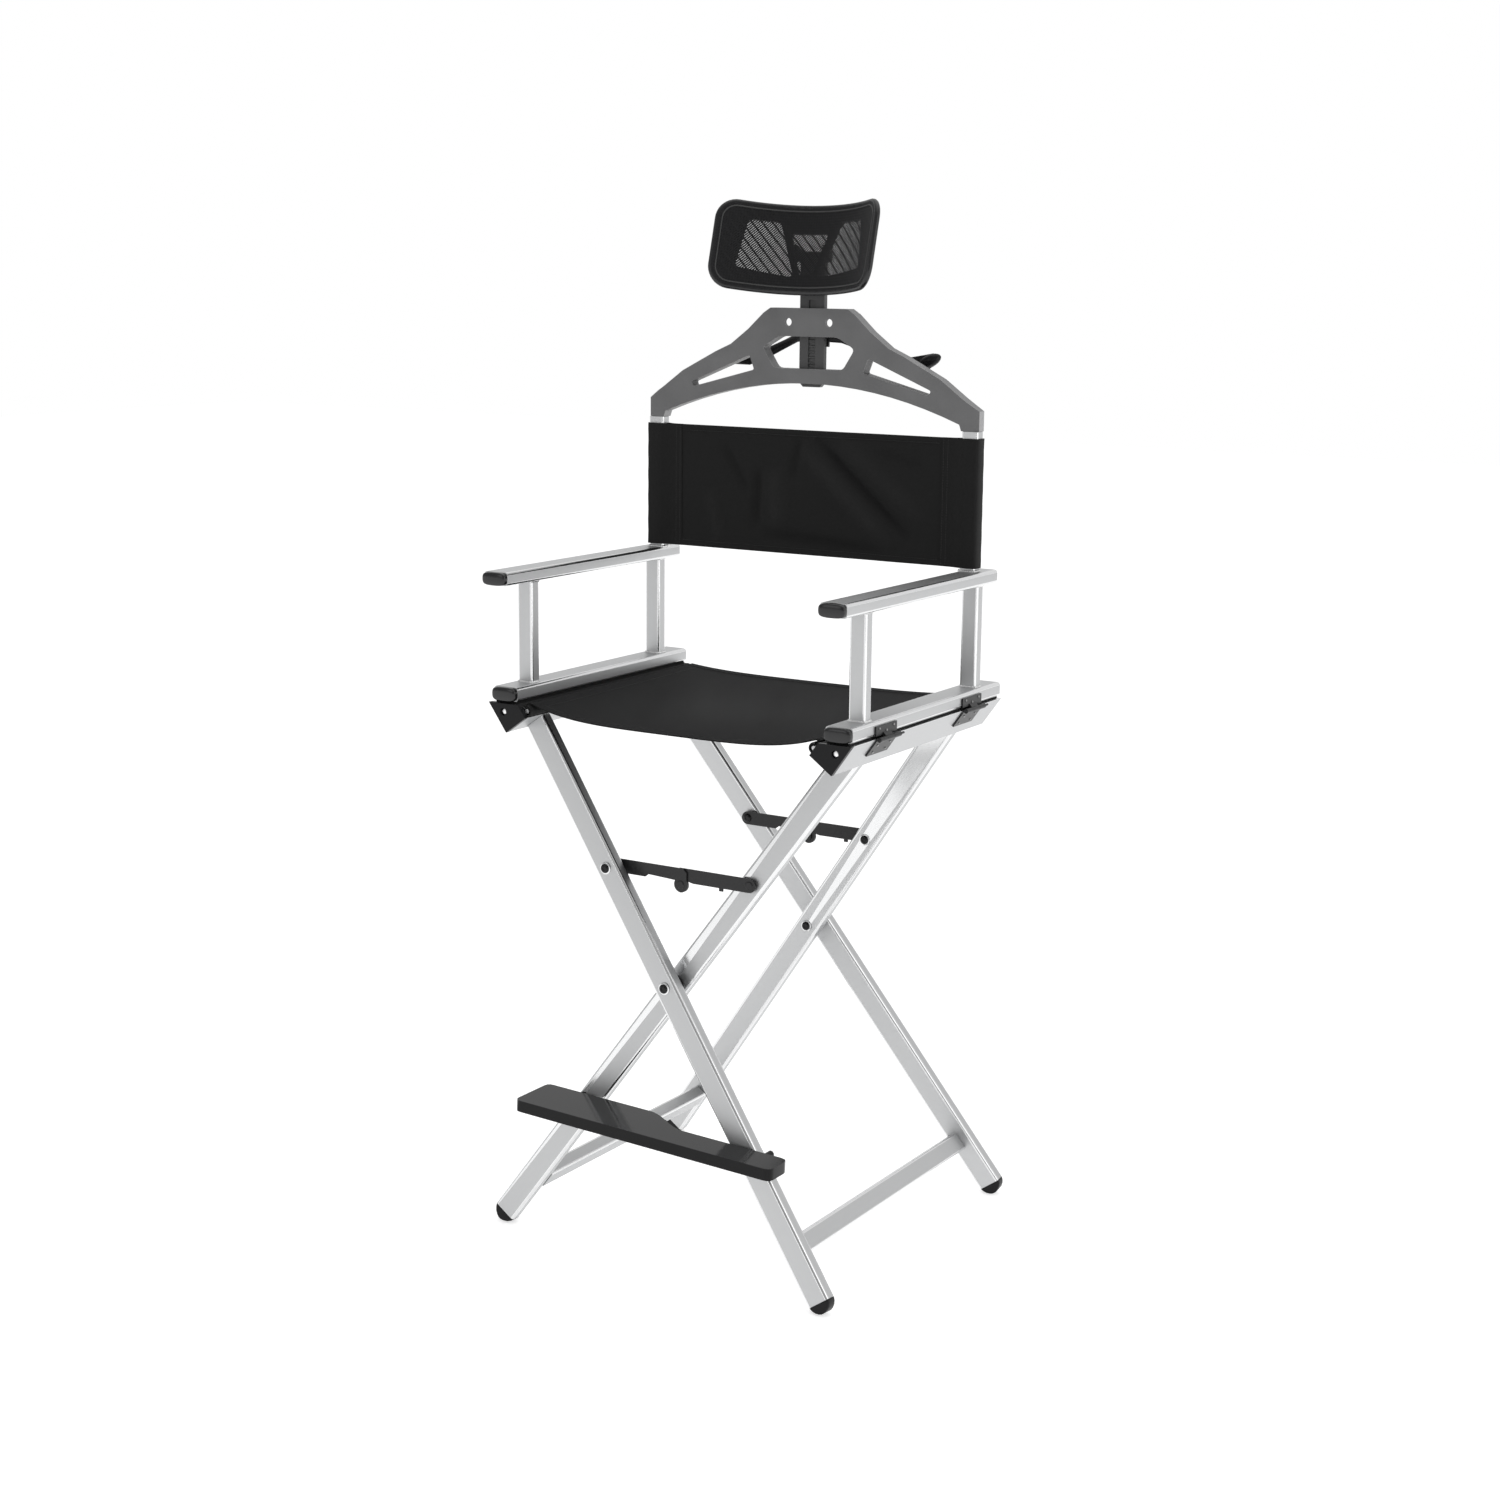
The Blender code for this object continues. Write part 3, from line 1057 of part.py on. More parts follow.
bm = bmesh.new()
hole_radius = BRACE_PIN + BOLT_HOLE_GAP
turned(bm, (FOOTREST_BOLT_X, SHALLOW_BACK + MID_Y + CUT_PAST, FOOTREST_BOLT_Z), -Y_AXIS,
       [(0, hole_radius), (FOOTREST_BOLT_REACH + 2 * CUT_PAST, hole_radius)])
notch_left = PIN_X - PIN_SIDE
notch_right = PIN_X + PIN_EXIT
notch_back = DEEP_BACK + CUT_PAST
notch_front = DEEP_BACK - FOOTREST_WALL - CUT_PAST
notch_shape = [(notch_left, notch_front), (notch_right, notch_front),
               (notch_right, notch_back), (notch_left, notch_back)]
prism(bm, notch_shape, [],
      -BOARD_HALF - CUT_PAST, BOARD_HALF - FOOTREST_WALL, 2, board_place)
combine(board, bm, "DIFFERENCE")

# Pin on the inner leg that the board rests on
bm = bmesh.new()
pin_at = board_place(PIN_X, 0, PIN_RISE)
pin_face = INNER_FRONT.face_y(-1, (PIVOT_Z - pin_at.z) / COS_A) + MID_Y
pin_start = pin_face - FOOTREST_PIN * INNER_FRONT.slope - TOUCH_GAP
turned(bm, (pin_at.x, pin_start, pin_at.z), -Y_AXIS, [(0, FOOTREST_PIN), (PIN_REACH, FOOTREST_PIN)])
node("footrest_rest_pin", bm, "inner_frame", STEEL)

# Back sling: a sleeve with a sewn flap on each post and the panel between the flaps
SLEEVE_GROW = 2 * (TOUCH_GAP + SLEEVE_CLOTH)
SLEEVE_HALF = (POST_WIDTH + SLEEVE_GROW) / 2
FLAP_END = BACK_POST_X - SLEEVE_HALF - SLEEVE_FLAP
FLAP_Y = REAR_POST_Y - FLAP_AHEAD
for hand, side, frame in SIDES:
    skin = rounded_box(POST_WIDTH + SLEEVE_GROW, POST_DEPTH + SLEEVE_GROW, POST_RADIUS + SLEEVE_CLOTH)
    half = len(skin) // 2
    flap_back = FLAP_THICK / 2 - FLAP_AHEAD
    flap_front = -FLAP_THICK / 2 - FLAP_AHEAD
    flap = [(-SLEEVE_HALF, flap_back), (-SLEEVE_HALF - SLEEVE_FLAP, flap_back),
            (-SLEEVE_HALF - SLEEVE_FLAP, flap_front), (-SLEEVE_HALF, flap_front)]
    opening = rounded_box(POST_WIDTH + 2 * TOUCH_GAP, POST_DEPTH + 2 * TOUCH_GAP, POST_RADIUS)
    loops = [[(side * (BACK_POST_X + x), REAR_POST_Y + MID_Y + y) for x, y in loop]
             for loop in (skin[:half] + flap + skin[half:], opening)]
    bm = bmesh.new()
    prism(bm, loops[0], [loops[1]], BACK_BOTTOM, BACK_TOP, 2)
    node(hand + "_back_sleeve", bm, hand + "_arm", CANVAS)


def back_surface(u, v, s):
    """Panel between the flaps with soft slanting folds."""
    half = FLAP_END - TOUCH_GAP
    x = half * (2 * u - 1)
    wave = 0.6 * math.sin(math.tau * (1.3 * u + 0.8 * v))
    wave += 0.4 * math.sin(math.tau * (2.1 * u - 1.1 * v) + 1.0)
    y = FLAP_Y + MID_Y + BACK_FOLD * wave * math.sin(math.pi * u)
    return Vector((x, y + s * CLOTH / 2, BACK_BOTTOM + (BACK_TOP - BACK_BOTTOM) * v))


bm = bmesh.new()
sheet(bm, 24, 7, back_surface)
node("back_sling", bm, "left_arm", CANVAS)

# Headrest bridge: an arched moulding, open at the back, with a wall round its outline, window and slots
BRIDGE_FOOT = BACK_POST_TOP + TOUCH_GAP
ARCH_CROWN = BACK_POST_TOP + ARCH_RISE
ARCH_RUN = BRIDGE_FOOT_IN - ARCH_INSET
BRIDGE_HEIGHT = BRIDGE_TOP - BACK_POST_TOP


def arch(x):
    return ARCH_CROWN - ARCH_DROP * (x / ARCH_RUN) ** 2


def below_top(shares):
    return [(x * BRIDGE_FOOT_OUT, BRIDGE_TOP - drop * BRIDGE_HEIGHT) for x, drop in shares]


right_arch = [(x, arch(x)) for x in spread_points(BRIDGE_FOOT_IN - BRIDGE_WALL, 0.0, 10)]
foot_corners = [(BRIDGE_FOOT_OUT, BRIDGE_FOOT), (BRIDGE_FOOT_IN, BRIDGE_FOOT)]
right_half = below_top(SHOULDER) + foot_corners + right_arch
left_half = [(-x, z) for x, z in right_half[:-1]][::-1]
bridge_outline = (right_half + left_half)[::-1]
window = rounded(below_top(WINDOW), WINDOW_ROUND)
slot = rounded(below_top(SLOT), SLOT_ROUND)
other_slot = [(-x, z) for x, z in slot][::-1]
round_holes = [circle(x, BRIDGE_TOP - BRIDGE_HOLE_DROP, BRIDGE_HOLE) for x in (-BRIDGE_HOLE_X, BRIDGE_HOLE_X)]
walled = [window, slot, other_slot]
front_y = BRIDGE_FRONT + MID_Y
bm = bmesh.new()
prism(bm, bridge_outline, walled + round_holes, front_y, front_y + BRIDGE_DEPTH)
bridge = node("headrest_bridge", bm, "bridge", GREY_PLASTIC)
pocket = bmesh.new()
prism(pocket, offset(bridge_outline, BRIDGE_WALL), [offset(hole, -BRIDGE_WALL) for hole in walled],
      front_y + BRIDGE_PLATE, front_y + BRIDGE_DEPTH + CUT_PAST)
combine(bridge, pocket, "DIFFERENCE")
for side in (-1, 1):
    past = FOOT_FACET + CUT_PAST
    facet = [(BRIDGE_FOOT_OUT - FOOT_FACET, front_y), (BRIDGE_FOOT_OUT + CUT_PAST, front_y - CUT_PAST),
             (BRIDGE_FOOT_OUT + CUT_PAST, front_y + FOOT_FACET_BACK * past / FOOT_FACET)]
    wedge = bmesh.new()
    loft(wedge, [[Vector((side * x, y, z)) for x, y in facet] for z in (BRIDGE_FOOT - CUT_PAST, BRIDGE_TOP)])
    combine(bridge, wedge, "DIFFERENCE")
notch = bmesh.new()
MAST_HALF = MAST_WIDTH / 2
box(notch, (-MAST_HALF - SLIDE_GAP, MAST_FRONT + MID_Y - SLIDE_GAP, ARCH_CROWN - BRIDGE_DEPTH),
    (MAST_HALF + SLIDE_GAP, front_y + BRIDGE_DEPTH + CUT_PAST, BRIDGE_TOP + BRIDGE_DEPTH))
combine(bridge, notch, "DIFFERENCE")

spigot_width = POST_WIDTH - 2 * POST_WALL - 2 * TOUCH_GAP
spigot_depth = POST_DEPTH - 2 * POST_WALL - 2 * TOUCH_GAP
spigot_outline = rounded_box(spigot_width, spigot_depth, POST_RADIUS - BORE_CORNER * POST_WALL)
bm = bmesh.new()
loft(bm, [[Vector((x - BACK_POST_X, REAR_POST_Y + MID_Y + y, z)) for x, y in spigot_outline]
          for z in (BACK_POST_TOP - SPIGOT_LENGTH, BRIDGE_FOOT + BRIDGE_WALL / 2)])
combine(bridge, bm, "UNION")

# Headrest mast: a flat strap with a ratchet groove and a trunnion at each side of its head
bump = MAST_GROOVE_DEPTH * MAST_BUMP_SHARE
chamfer_x = MAST_HALF - MAST_CHAMFER
chamfer_z = MAST_BOTTOM + MAST_CHAMFER
strap = [(-MAST_HALF, MAST_TOP), (-MAST_HALF, chamfer_z), (-chamfer_x, MAST_BOTTOM),
         (chamfer_x, MAST_BOTTOM), (MAST_HALF, chamfer_z), (MAST_HALF, MAST_TOP)]
bm = bmesh.new()
prism(bm, strap, [], MAST_FRONT + MID_Y, MAST_BACK + MID_Y)
mast = node("headrest_mast", bm, "mast", BLACK_PLASTIC)
bm = bmesh.new()
box(bm, (-MAST_GROOVE / 2, MAST_FRONT + MID_Y - CUT_PAST, MAST_BOTTOM + 2 * MAST_CHAMFER),
    (MAST_GROOVE / 2, MAST_FRONT + MID_Y + MAST_GROOVE_DEPTH, BRIDGE_TOP + MAST_GROOVE))
combine(mast, bm, "DIFFERENCE")
bm = bmesh.new()
for k in range(MAST_BUMPS):
    bump_z = MAST_BUMP_START + k * MAST_BUMP_PITCH
    at = (-MAST_GROOVE / 2 - EMBED, MAST_FRONT + MID_Y + MAST_GROOVE_DEPTH, bump_z)
    turned(bm, at, X_AXIS, [(0, bump), (MAST_GROOVE + 2 * EMBED, bump)], 10)
trunnion_reach = MAST_HALF + TRUNNION_LENGTH
turned(bm, (-trunnion_reach, MAST_MID_Y, HEAD_AXIS_Z), X_AXIS,
       [(0, TRUNNION_RADIUS), (2 * trunnion_reach, TRUNNION_RADIUS)])
combine(mast, bm, "UNION")

# Coat hanger: the guide plate behind the mast and a wing swept out to each side
bm = bmesh.new()
plate_y = HANGER_FRONT + MID_Y
box(bm, (-HANGER_HALF, plate_y, HANGER_BOTTOM), (HANGER_HALF, plate_y + HANGER_PLATE, HANGER_TOP))
hanger = node("coat_hanger", bm, "bridge", BLACK_PLASTIC)
bm = bmesh.new()
for side in (-1, 1):
    path = [(Vector((side * x, plate_y + back, z)), half) for x, back, z, half in HANGER_PATH]
    rings = []
    for k, (centre, half) in enumerate(path):
        before = path[max(k - 1, 0)][0]
        after = path[min(k + 1, len(path) - 1)][0]
        along = (after - before).normalized()
        out = along.cross(Z_AXIS).normalized()
        up = out.cross(along)
        turns = [math.tau * j / WING_STEPS for j in range(WING_STEPS)]
        rings.append([centre + up * (half * math.cos(a)) + out * (WING_THICK * math.sin(a)) for a in turns])
    loft(bm, rings)
combine(hanger, bm, "UNION")

# Headrest: a curved frame with three windows, leaning back, and the netting stretched over its front


def head_place(u, w, v):
    """Point on the curved panel: along the arc, back from its front face and up."""
    angle = u / HEAD_CURVE
    x = (HEAD_CURVE + w) * math.sin(angle)
    back = (HEAD_CURVE + w) * math.cos(angle) - HEAD_CURVE
    return Vector((x, HEAD_Y + MID_Y + back * math.cos(HEAD_LEAN) + v * math.sin(HEAD_LEAN),
                   HEAD_Z + v * math.cos(HEAD_LEAN) - back * math.sin(HEAD_LEAN)))


def curved_plate(bm, outline, holes, start, end):
    """Flat plate cut into upright strips and wrapped on the headrest's curve."""
    prism(bm, outline, holes, start, end)
    for u in spread_points(-HEAD_HALF_ARC, HEAD_HALF_ARC, HEAD_STRIPS + 1)[1:-1]:
        bmesh.ops.bisect_plane(bm, geom=bm.verts[:] + bm.edges[:] + bm.faces[:], dist=1e-7,
                               plane_co=(u, 0, 0), plane_no=(1, 0, 0))
    for vert in bm.verts:
        vert.co = head_place(*vert.co)


head_outline = rounded_box(2 * HEAD_HALF_ARC, 2 * HEAD_HALF_HEIGHT, HEAD_CORNER, 5)
side_window = rounded(SIDE_WINDOW, SIDE_WINDOW_ROUND, 2)
other_window = [(-u, v) for u, v in side_window][::-1]
middle_window = rounded(MIDDLE_WINDOW, MIDDLE_WINDOW_ROUND, 2)
bm = bmesh.new()
curved_plate(bm, head_outline, [side_window, other_window, middle_window], 0.0, HEAD_FRAME)
head_frame = node("headrest_frame", bm, "headrest", BLACK_PLASTIC)
bm = bmesh.new()
LUG_START = MAST_HALF + RUN_GAP
for side in (-1, 1):
    roots = [head_place(LUG_START, HEAD_FRAME / 2, v) for v in LUG_ROOTS]
    outline = [(roots[0].y, roots[0].z)] + arc(MAST_MID_Y, HEAD_AXIS_Z, LUG_RADIUS, 75, -105, 12)
    outline.append((roots[1].y, roots[1].z))
    x_low, x_high = sorted((side * LUG_START, side * (LUG_START + LUG_THICK)))
    prism(bm, outline, [circle(MAST_MID_Y, HEAD_AXIS_Z, TRUNNION_RADIUS + RUN_GAP, 16)], x_low, x_high, 0)
combine(head_frame, bm, "UNION")


def mesh_surface(u, v, s):
    """Netting just in front of the frame, columns packed towards its rounded corners."""
    across = math.sin(math.pi / 2 * (2 * u - 1))
    past_corner = max(abs(across) * HEAD_HALF_ARC - (HEAD_HALF_ARC - HEAD_CORNER), 0.0)
    half = HEAD_HALF_HEIGHT - HEAD_CORNER + math.sqrt(HEAD_CORNER ** 2 - min(past_corner, HEAD_CORNER) ** 2)
    depth = -MESH_GAP - HEAD_MESH * (1 - s) / 2
    return head_place(across * (HEAD_HALF_ARC + MESH_LAP), depth, (2 * v - 1) * (half + MESH_LAP))


bm = bmesh.new()
sheet(bm, 22, 3, mesh_surface)
node("headrest_mesh", bm, "headrest", NETTING)

print("pivot", round(PIVOT_Z, 5), "mid_y", round(MID_Y, 5), "hinge", HINGE_X, round(HINGE_Z, 5),
      "brace", round(BRACE_X, 5), round(BRACE_Z, 5), round(KNUCKLE_Z, 5),
      "footrest", round(FOOTREST_BOLT_X, 5), "headrest axis", round(MAST_MID_Y, 5), HEAD_AXIS_Z)
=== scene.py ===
# %% [markdown]
# # A folding makeup chair
# The frame holds the rigid pieces of the chair at their real sizes, in metres, with +Z up and the front at -Y.
# This lesson dresses them: finer edges, real cloth, netting, stitches, welds and screws, then light and camera.

# %% Load the frame
import json
import math

import bmesh
import bpy
from mathutils import Matrix, Vector


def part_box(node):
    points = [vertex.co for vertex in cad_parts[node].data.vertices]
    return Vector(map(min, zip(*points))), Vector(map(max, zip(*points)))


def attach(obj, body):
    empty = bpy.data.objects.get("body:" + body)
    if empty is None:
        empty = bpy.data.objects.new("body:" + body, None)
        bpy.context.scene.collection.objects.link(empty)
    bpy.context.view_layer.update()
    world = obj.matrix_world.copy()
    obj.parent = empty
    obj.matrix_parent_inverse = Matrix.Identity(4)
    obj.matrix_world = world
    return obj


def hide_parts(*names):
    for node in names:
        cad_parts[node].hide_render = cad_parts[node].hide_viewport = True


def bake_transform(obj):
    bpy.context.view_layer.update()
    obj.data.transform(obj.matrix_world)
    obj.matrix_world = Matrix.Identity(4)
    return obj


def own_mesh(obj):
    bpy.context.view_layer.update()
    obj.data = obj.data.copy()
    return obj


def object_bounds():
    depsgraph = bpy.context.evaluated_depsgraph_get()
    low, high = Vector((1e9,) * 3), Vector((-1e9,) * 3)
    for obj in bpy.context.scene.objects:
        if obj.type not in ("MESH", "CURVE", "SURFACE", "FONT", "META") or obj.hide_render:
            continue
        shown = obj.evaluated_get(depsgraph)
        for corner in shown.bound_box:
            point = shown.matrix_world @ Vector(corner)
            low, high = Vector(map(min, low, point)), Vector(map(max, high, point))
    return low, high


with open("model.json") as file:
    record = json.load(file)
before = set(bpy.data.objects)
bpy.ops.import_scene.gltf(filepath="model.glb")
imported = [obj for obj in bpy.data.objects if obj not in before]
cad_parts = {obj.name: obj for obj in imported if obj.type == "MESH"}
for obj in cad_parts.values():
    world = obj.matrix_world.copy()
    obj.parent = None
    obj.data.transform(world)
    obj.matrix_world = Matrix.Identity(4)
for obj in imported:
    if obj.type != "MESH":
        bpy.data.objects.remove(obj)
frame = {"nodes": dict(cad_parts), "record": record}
cad_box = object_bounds()
nodes = frame["nodes"]
body_of_node = {n: body for body, members in frame["record"]["behaviour"]["bodies"].items() for n in members}
slot_of_node = {part["node"]: part["material_slot"] for part in frame["record"]["subparts"]}
scene = bpy.context.scene
scene.view_settings.view_transform = "Standard"


def new_object(name, data):
    """Object for a mesh, curve, lamp or camera, linked to the scene."""
    made = bpy.data.objects.new(name, data)
    scene.collection.objects.link(made)
    return made


print("frame box", [tuple(round(v, 3) for v in corner) for corner in cad_box], "nodes", len(nodes))

# %% [markdown]
# ## Camera
# The photograph looks down on the chair from its right front. A camera can be aimed with a Track To constraint,
# but a matrix made from a turn, a pitch and a small roll says the same in plain numbers and keeps no helper object.

# %% Camera
CAMERA_AT = Vector((1.7056, -2.7849, 1.3249))
CAMERA_TURN = math.radians(31.42)
CAMERA_PITCH = math.radians(11.36)
CAMERA_ROLL = math.radians(0.58)
CAMERA_LENS = 58.61

camera_data = bpy.data.cameras.new("photo_camera")
camera_data.lens = CAMERA_LENS
camera_data.sensor_width = 36.0
camera = new_object("photo_camera", camera_data)
level = math.cos(CAMERA_PITCH)
ahead = Vector((-math.sin(CAMERA_TURN) * level, math.cos(CAMERA_TURN) * level, -math.sin(CAMERA_PITCH)))
right = Vector((math.cos(CAMERA_TURN), math.sin(CAMERA_TURN), 0.0))
upright = right.cross(ahead)
rolled_right = right * math.cos(CAMERA_ROLL) + upright * math.sin(CAMERA_ROLL)
rolled_up = upright * math.cos(CAMERA_ROLL) - right * math.sin(CAMERA_ROLL)
turn = Matrix((rolled_right, rolled_up, -ahead)).transposed().to_4x4()
camera.matrix_world = Matrix.Translation(CAMERA_AT) @ turn
scene.camera = camera
print("camera at", tuple(CAMERA_AT), "lens", CAMERA_LENS)

# %% [markdown]
# ## Helpers for nodes
# Floor, world and finishes are all trees of nodes. A few short functions keep the cells that build them readable: one
# starts a material, one fills a node's inputs, and the others make the nodes that are used again and again.

# %% Node helpers
WHITE = (1.0, 1.0, 1.0, 1.0)


def new_look(name):
    """New material, with its node tree and its Principled shader."""
    look = bpy.data.materials.new(name)
    look.use_nodes = True
    return look, look.node_tree, look.node_tree.nodes["Principled BSDF"]


def feed(node, values):
    """Fill a node's inputs: a socket is linked, anything else becomes the input's own value."""
    for name, value in values.items():
        if isinstance(value, bpy.types.NodeSocket):
            node.id_data.links.new(value, node.inputs[name])
        else:
            node.inputs[name].default_value = value
    return node


def math_node(tree, operation, first, second=None):
    node = tree.nodes.new("ShaderNodeMath")
    node.operation = operation
    return feed(node, {0: first} if second is None else {0: first, 1: second}).outputs[0]


def noise_node(tree, vector, scale, detail):
    node = tree.nodes.new("ShaderNodeTexNoise")
    return feed(node, {"Vector": vector, "Scale": scale, "Detail": detail}).outputs["Fac"]


def scaled(tree, colour, by):
    """Colour made paler or darker by a value."""
    node = tree.nodes.new("ShaderNodeVectorMath")
    node.operation = "SCALE"
    return feed(node, {0: colour, "Scale": by}).outputs[0]


def bumped(tree, height, strength, distance):
    node = tree.nodes.new("ShaderNodeBump")
    return feed(node, {"Height": height, "Strength": strength, "Distance": distance}).outputs["Normal"]


print("helpers for nodes ready")

# %% [markdown]
# ## Studio
# The chair stands in a white studio. The floor takes the chair's soft shadow like any matt floor, and gets a little
# extra glow for the camera and for reflections, so that it meets the white of the background with no edge.
# The metal needs something to reflect: the world is pale behind the chair and darker behind the camera.

# %% Floor and world
FLOOR_HALF = 14.0
FLOOR_GAP = 0.0005
FLOOR_COLOUR = (0.80, 0.80, 0.80, 1.0)
FLOOR_GLOW = 0.62
WORLD_FRONT, WORLD_BACK = 0.28, 0.86


def seen_rays(tree):
    """Value that is 1 for the camera, reflections and glass, and 0 for light that falls on things."""
    path = tree.nodes.new("ShaderNodeLightPath")
    value = path.outputs["Is Camera Ray"]
    for name in ("Is Glossy Ray", "Is Transmission Ray"):
        value = math_node(tree, "MAXIMUM", value, path.outputs[name])
    return value


bpy.ops.object.select_all(action="DESELECT")
bpy.ops.mesh.primitive_plane_add(size=2 * FLOOR_HALF, location=(0, 0, cad_box[0].z - FLOOR_GAP))
floor = bpy.context.object
floor.name = "studio_floor"
floor_look, floor_tree, floor_shader = new_look("studio_floor")
feed(floor_shader, {"Base Color": FLOOR_COLOUR, "Roughness": 0.9, "Specular IOR Level": 0.0, "Emission Color": WHITE,
                    "Emission Strength": math_node(floor_tree, "MULTIPLY", seen_rays(floor_tree), FLOOR_GLOW)})
floor.data.materials.append(floor_look)

studio = bpy.data.worlds.new("studio")
studio.use_nodes = True
scene.world = studio
world_tree = studio.node_tree
direction = world_tree.nodes.new("ShaderNodeTexCoord")
split = feed(world_tree.nodes.new("ShaderNodeSeparateXYZ"), {0: direction.outputs["Generated"]})
front_shade = feed(world_tree.nodes.new("ShaderNodeMapRange"), {
    "Value": split.outputs["Y"], "From Min": -1.0, "From Max": 0.6, "To Min": WORLD_FRONT, "To Max": WORLD_BACK})
rays = world_tree.nodes.new("ShaderNodeLightPath")
strength = world_tree.nodes.new("ShaderNodeMix")
strength.data_type = "FLOAT"
feed(strength, {"Factor": rays.outputs["Is Camera Ray"], "A": front_shade.outputs["Result"], "B": 1.0})
feed(world_tree.nodes["Background"], {"Color": WHITE, "Strength": strength.outputs["Result"]})
print("studio floor", 2 * FLOOR_HALF, "m wide")

# %% [markdown]
# ## Lamps
# Soft boxes are area lamps. A wide one over the chair gives the top faces their white, a tall one on the right lights
# the sides of the tubes, and one at the front left fills the black pieces without flattening them.

# %% Soft boxes


def soft_box(name, at, aim, width, height, watts):
    lamp_data = bpy.data.lights.new(name, "AREA")
    lamp_data.shape = "RECTANGLE"
    lamp_data.size = width
    lamp_data.size_y = height
    lamp_data.energy = watts
    lamp = new_object(name, lamp_data)
    away = (Vector(at) - Vector(aim)).normalized()
    lamp.matrix_world = Matrix.Translation(at) @ away.to_track_quat("Z", "Y").to_matrix().to_4x4()


CHAIR_MIDDLE = (0.0, 0.0, 0.7)
soft_box("top_box", (0.3, 0.2, 3.4), CHAIR_MIDDLE, 2.6, 2.6, 14.0)
soft_box("right_box", (3.0, -0.4, 1.5), CHAIR_MIDDLE, 1.6, 2.6, 16.0)
soft_box("front_box", (-1.2, -3.6, 2.0), CHAIR_MIDDLE, 2.0, 2.0, 12.0)

# %% [markdown]
# ## Finishes
# Each finish is a Principled shader fed by small shared node groups: a satin grain for metal and moulded plastic,
# and a weave for cloth. A group only puts out values that change over the surface, the shader stays in the material.

# %% Shared grain and weave groups


def new_group(name, inputs, outputs):
    group = bpy.data.node_groups.new(name, "ShaderNodeTree")
    for socket_name, kind, value in inputs:
        socket = group.interface.new_socket(name=socket_name, in_out="INPUT", socket_type=kind)
        if value is not None:
            socket.default_value = value
    for socket_name, kind in outputs:
        group.interface.new_socket(name=socket_name, in_out="OUTPUT", socket_type=kind)
    return group, group.nodes.new("NodeGroupInput"), group.nodes.new("NodeGroupOutput")


FLOAT = "NodeSocketFloat"
VECTOR = "NodeSocketVector"
COLOUR = "NodeSocketColor"

grain_group, given, out = new_group(
    "satin_grain",
    [("Vector", VECTOR, None), ("Colour", COLOUR, (0.5, 0.5, 0.5, 1.0)), ("Roughness", FLOAT, 0.4),
     ("Grain per metre", FLOAT, 900.0), ("Tone change", FLOAT, 0.06), ("Gloss change", FLOAT, 0.08)],
    [("Colour", COLOUR), ("Roughness", FLOAT), ("Height", FLOAT)])
fine = noise_node(grain_group, given.outputs["Vector"], given.outputs["Grain per metre"], 3.0)
cloud = noise_node(grain_group, given.outputs["Vector"], 14.0, 3.0)
mixed = math_node(grain_group, "ADD", math_node(grain_group, "MULTIPLY", fine, 0.45),
                  math_node(grain_group, "MULTIPLY", cloud, 0.55))
centred = math_node(grain_group, "SUBTRACT", mixed, 0.5)
tone = math_node(grain_group, "ADD", math_node(grain_group, "MULTIPLY", centred, given.outputs["Tone change"]), 1.0)
gloss = math_node(grain_group, "MULTIPLY", centred, given.outputs["Gloss change"])
feed(out, {"Colour": scaled(grain_group, given.outputs["Colour"], tone), "Height": fine,
           "Roughness": math_node(grain_group, "ADD", gloss, given.outputs["Roughness"])})

weave_group, given, out = new_group(
    "plain_weave",
    [("Vector", VECTOR, None), ("Colour", COLOUR, (0.02, 0.02, 0.02, 1.0)), ("Threads per metre", FLOAT, 900.0),
     ("Thread shade", FLOAT, 0.5), ("Slub", FLOAT, 0.35)],
    [("Colour", COLOUR), ("Height", FLOAT)])
axes = feed(weave_group.nodes.new("ShaderNodeSeparateXYZ"), {0: given.outputs["Vector"]})
across, along = [
    math_node(weave_group, "MULTIPLY",
              math_node(weave_group, "MULTIPLY", axes.outputs[axis], given.outputs["Threads per metre"]), math.pi)
    for axis in ("X", "Y")]
over = math_node(weave_group, "MULTIPLY", math_node(weave_group, "SINE", across),
                 math_node(weave_group, "SINE", along))
thread = math_node(weave_group, "ADD", math_node(weave_group, "MULTIPLY", over, 0.5), 0.5)
slub = noise_node(weave_group, given.outputs["Vector"], 260.0, 4.0)
slub_part = math_node(weave_group, "MULTIPLY", math_node(weave_group, "SUBTRACT", slub, 0.5), given.outputs["Slub"])
shade = math_node(weave_group, "MULTIPLY", math_node(weave_group, "SUBTRACT", thread, 0.5),
                  given.outputs["Thread shade"])
tone = math_node(weave_group, "ADD", math_node(weave_group, "ADD", shade, slub_part), 1.0)
feed(out, {"Colour": scaled(weave_group, given.outputs["Colour"], tone),
           "Height": math_node(weave_group, "ADD", thread, slub)})
print("groups", [g.name for g in bpy.data.node_groups])

# %% [markdown]
# ## Metal and plastic
# Satin anodised aluminium is a metal with a fine, even grain: a broad soft highlight and no mirror image.
# The black pieces differ mostly in gloss: moulded caps shine, the coated steel is duller, the bridge is a grey satin.

# %% Grained finishes
GRAIN_DEPTH = 0.0002


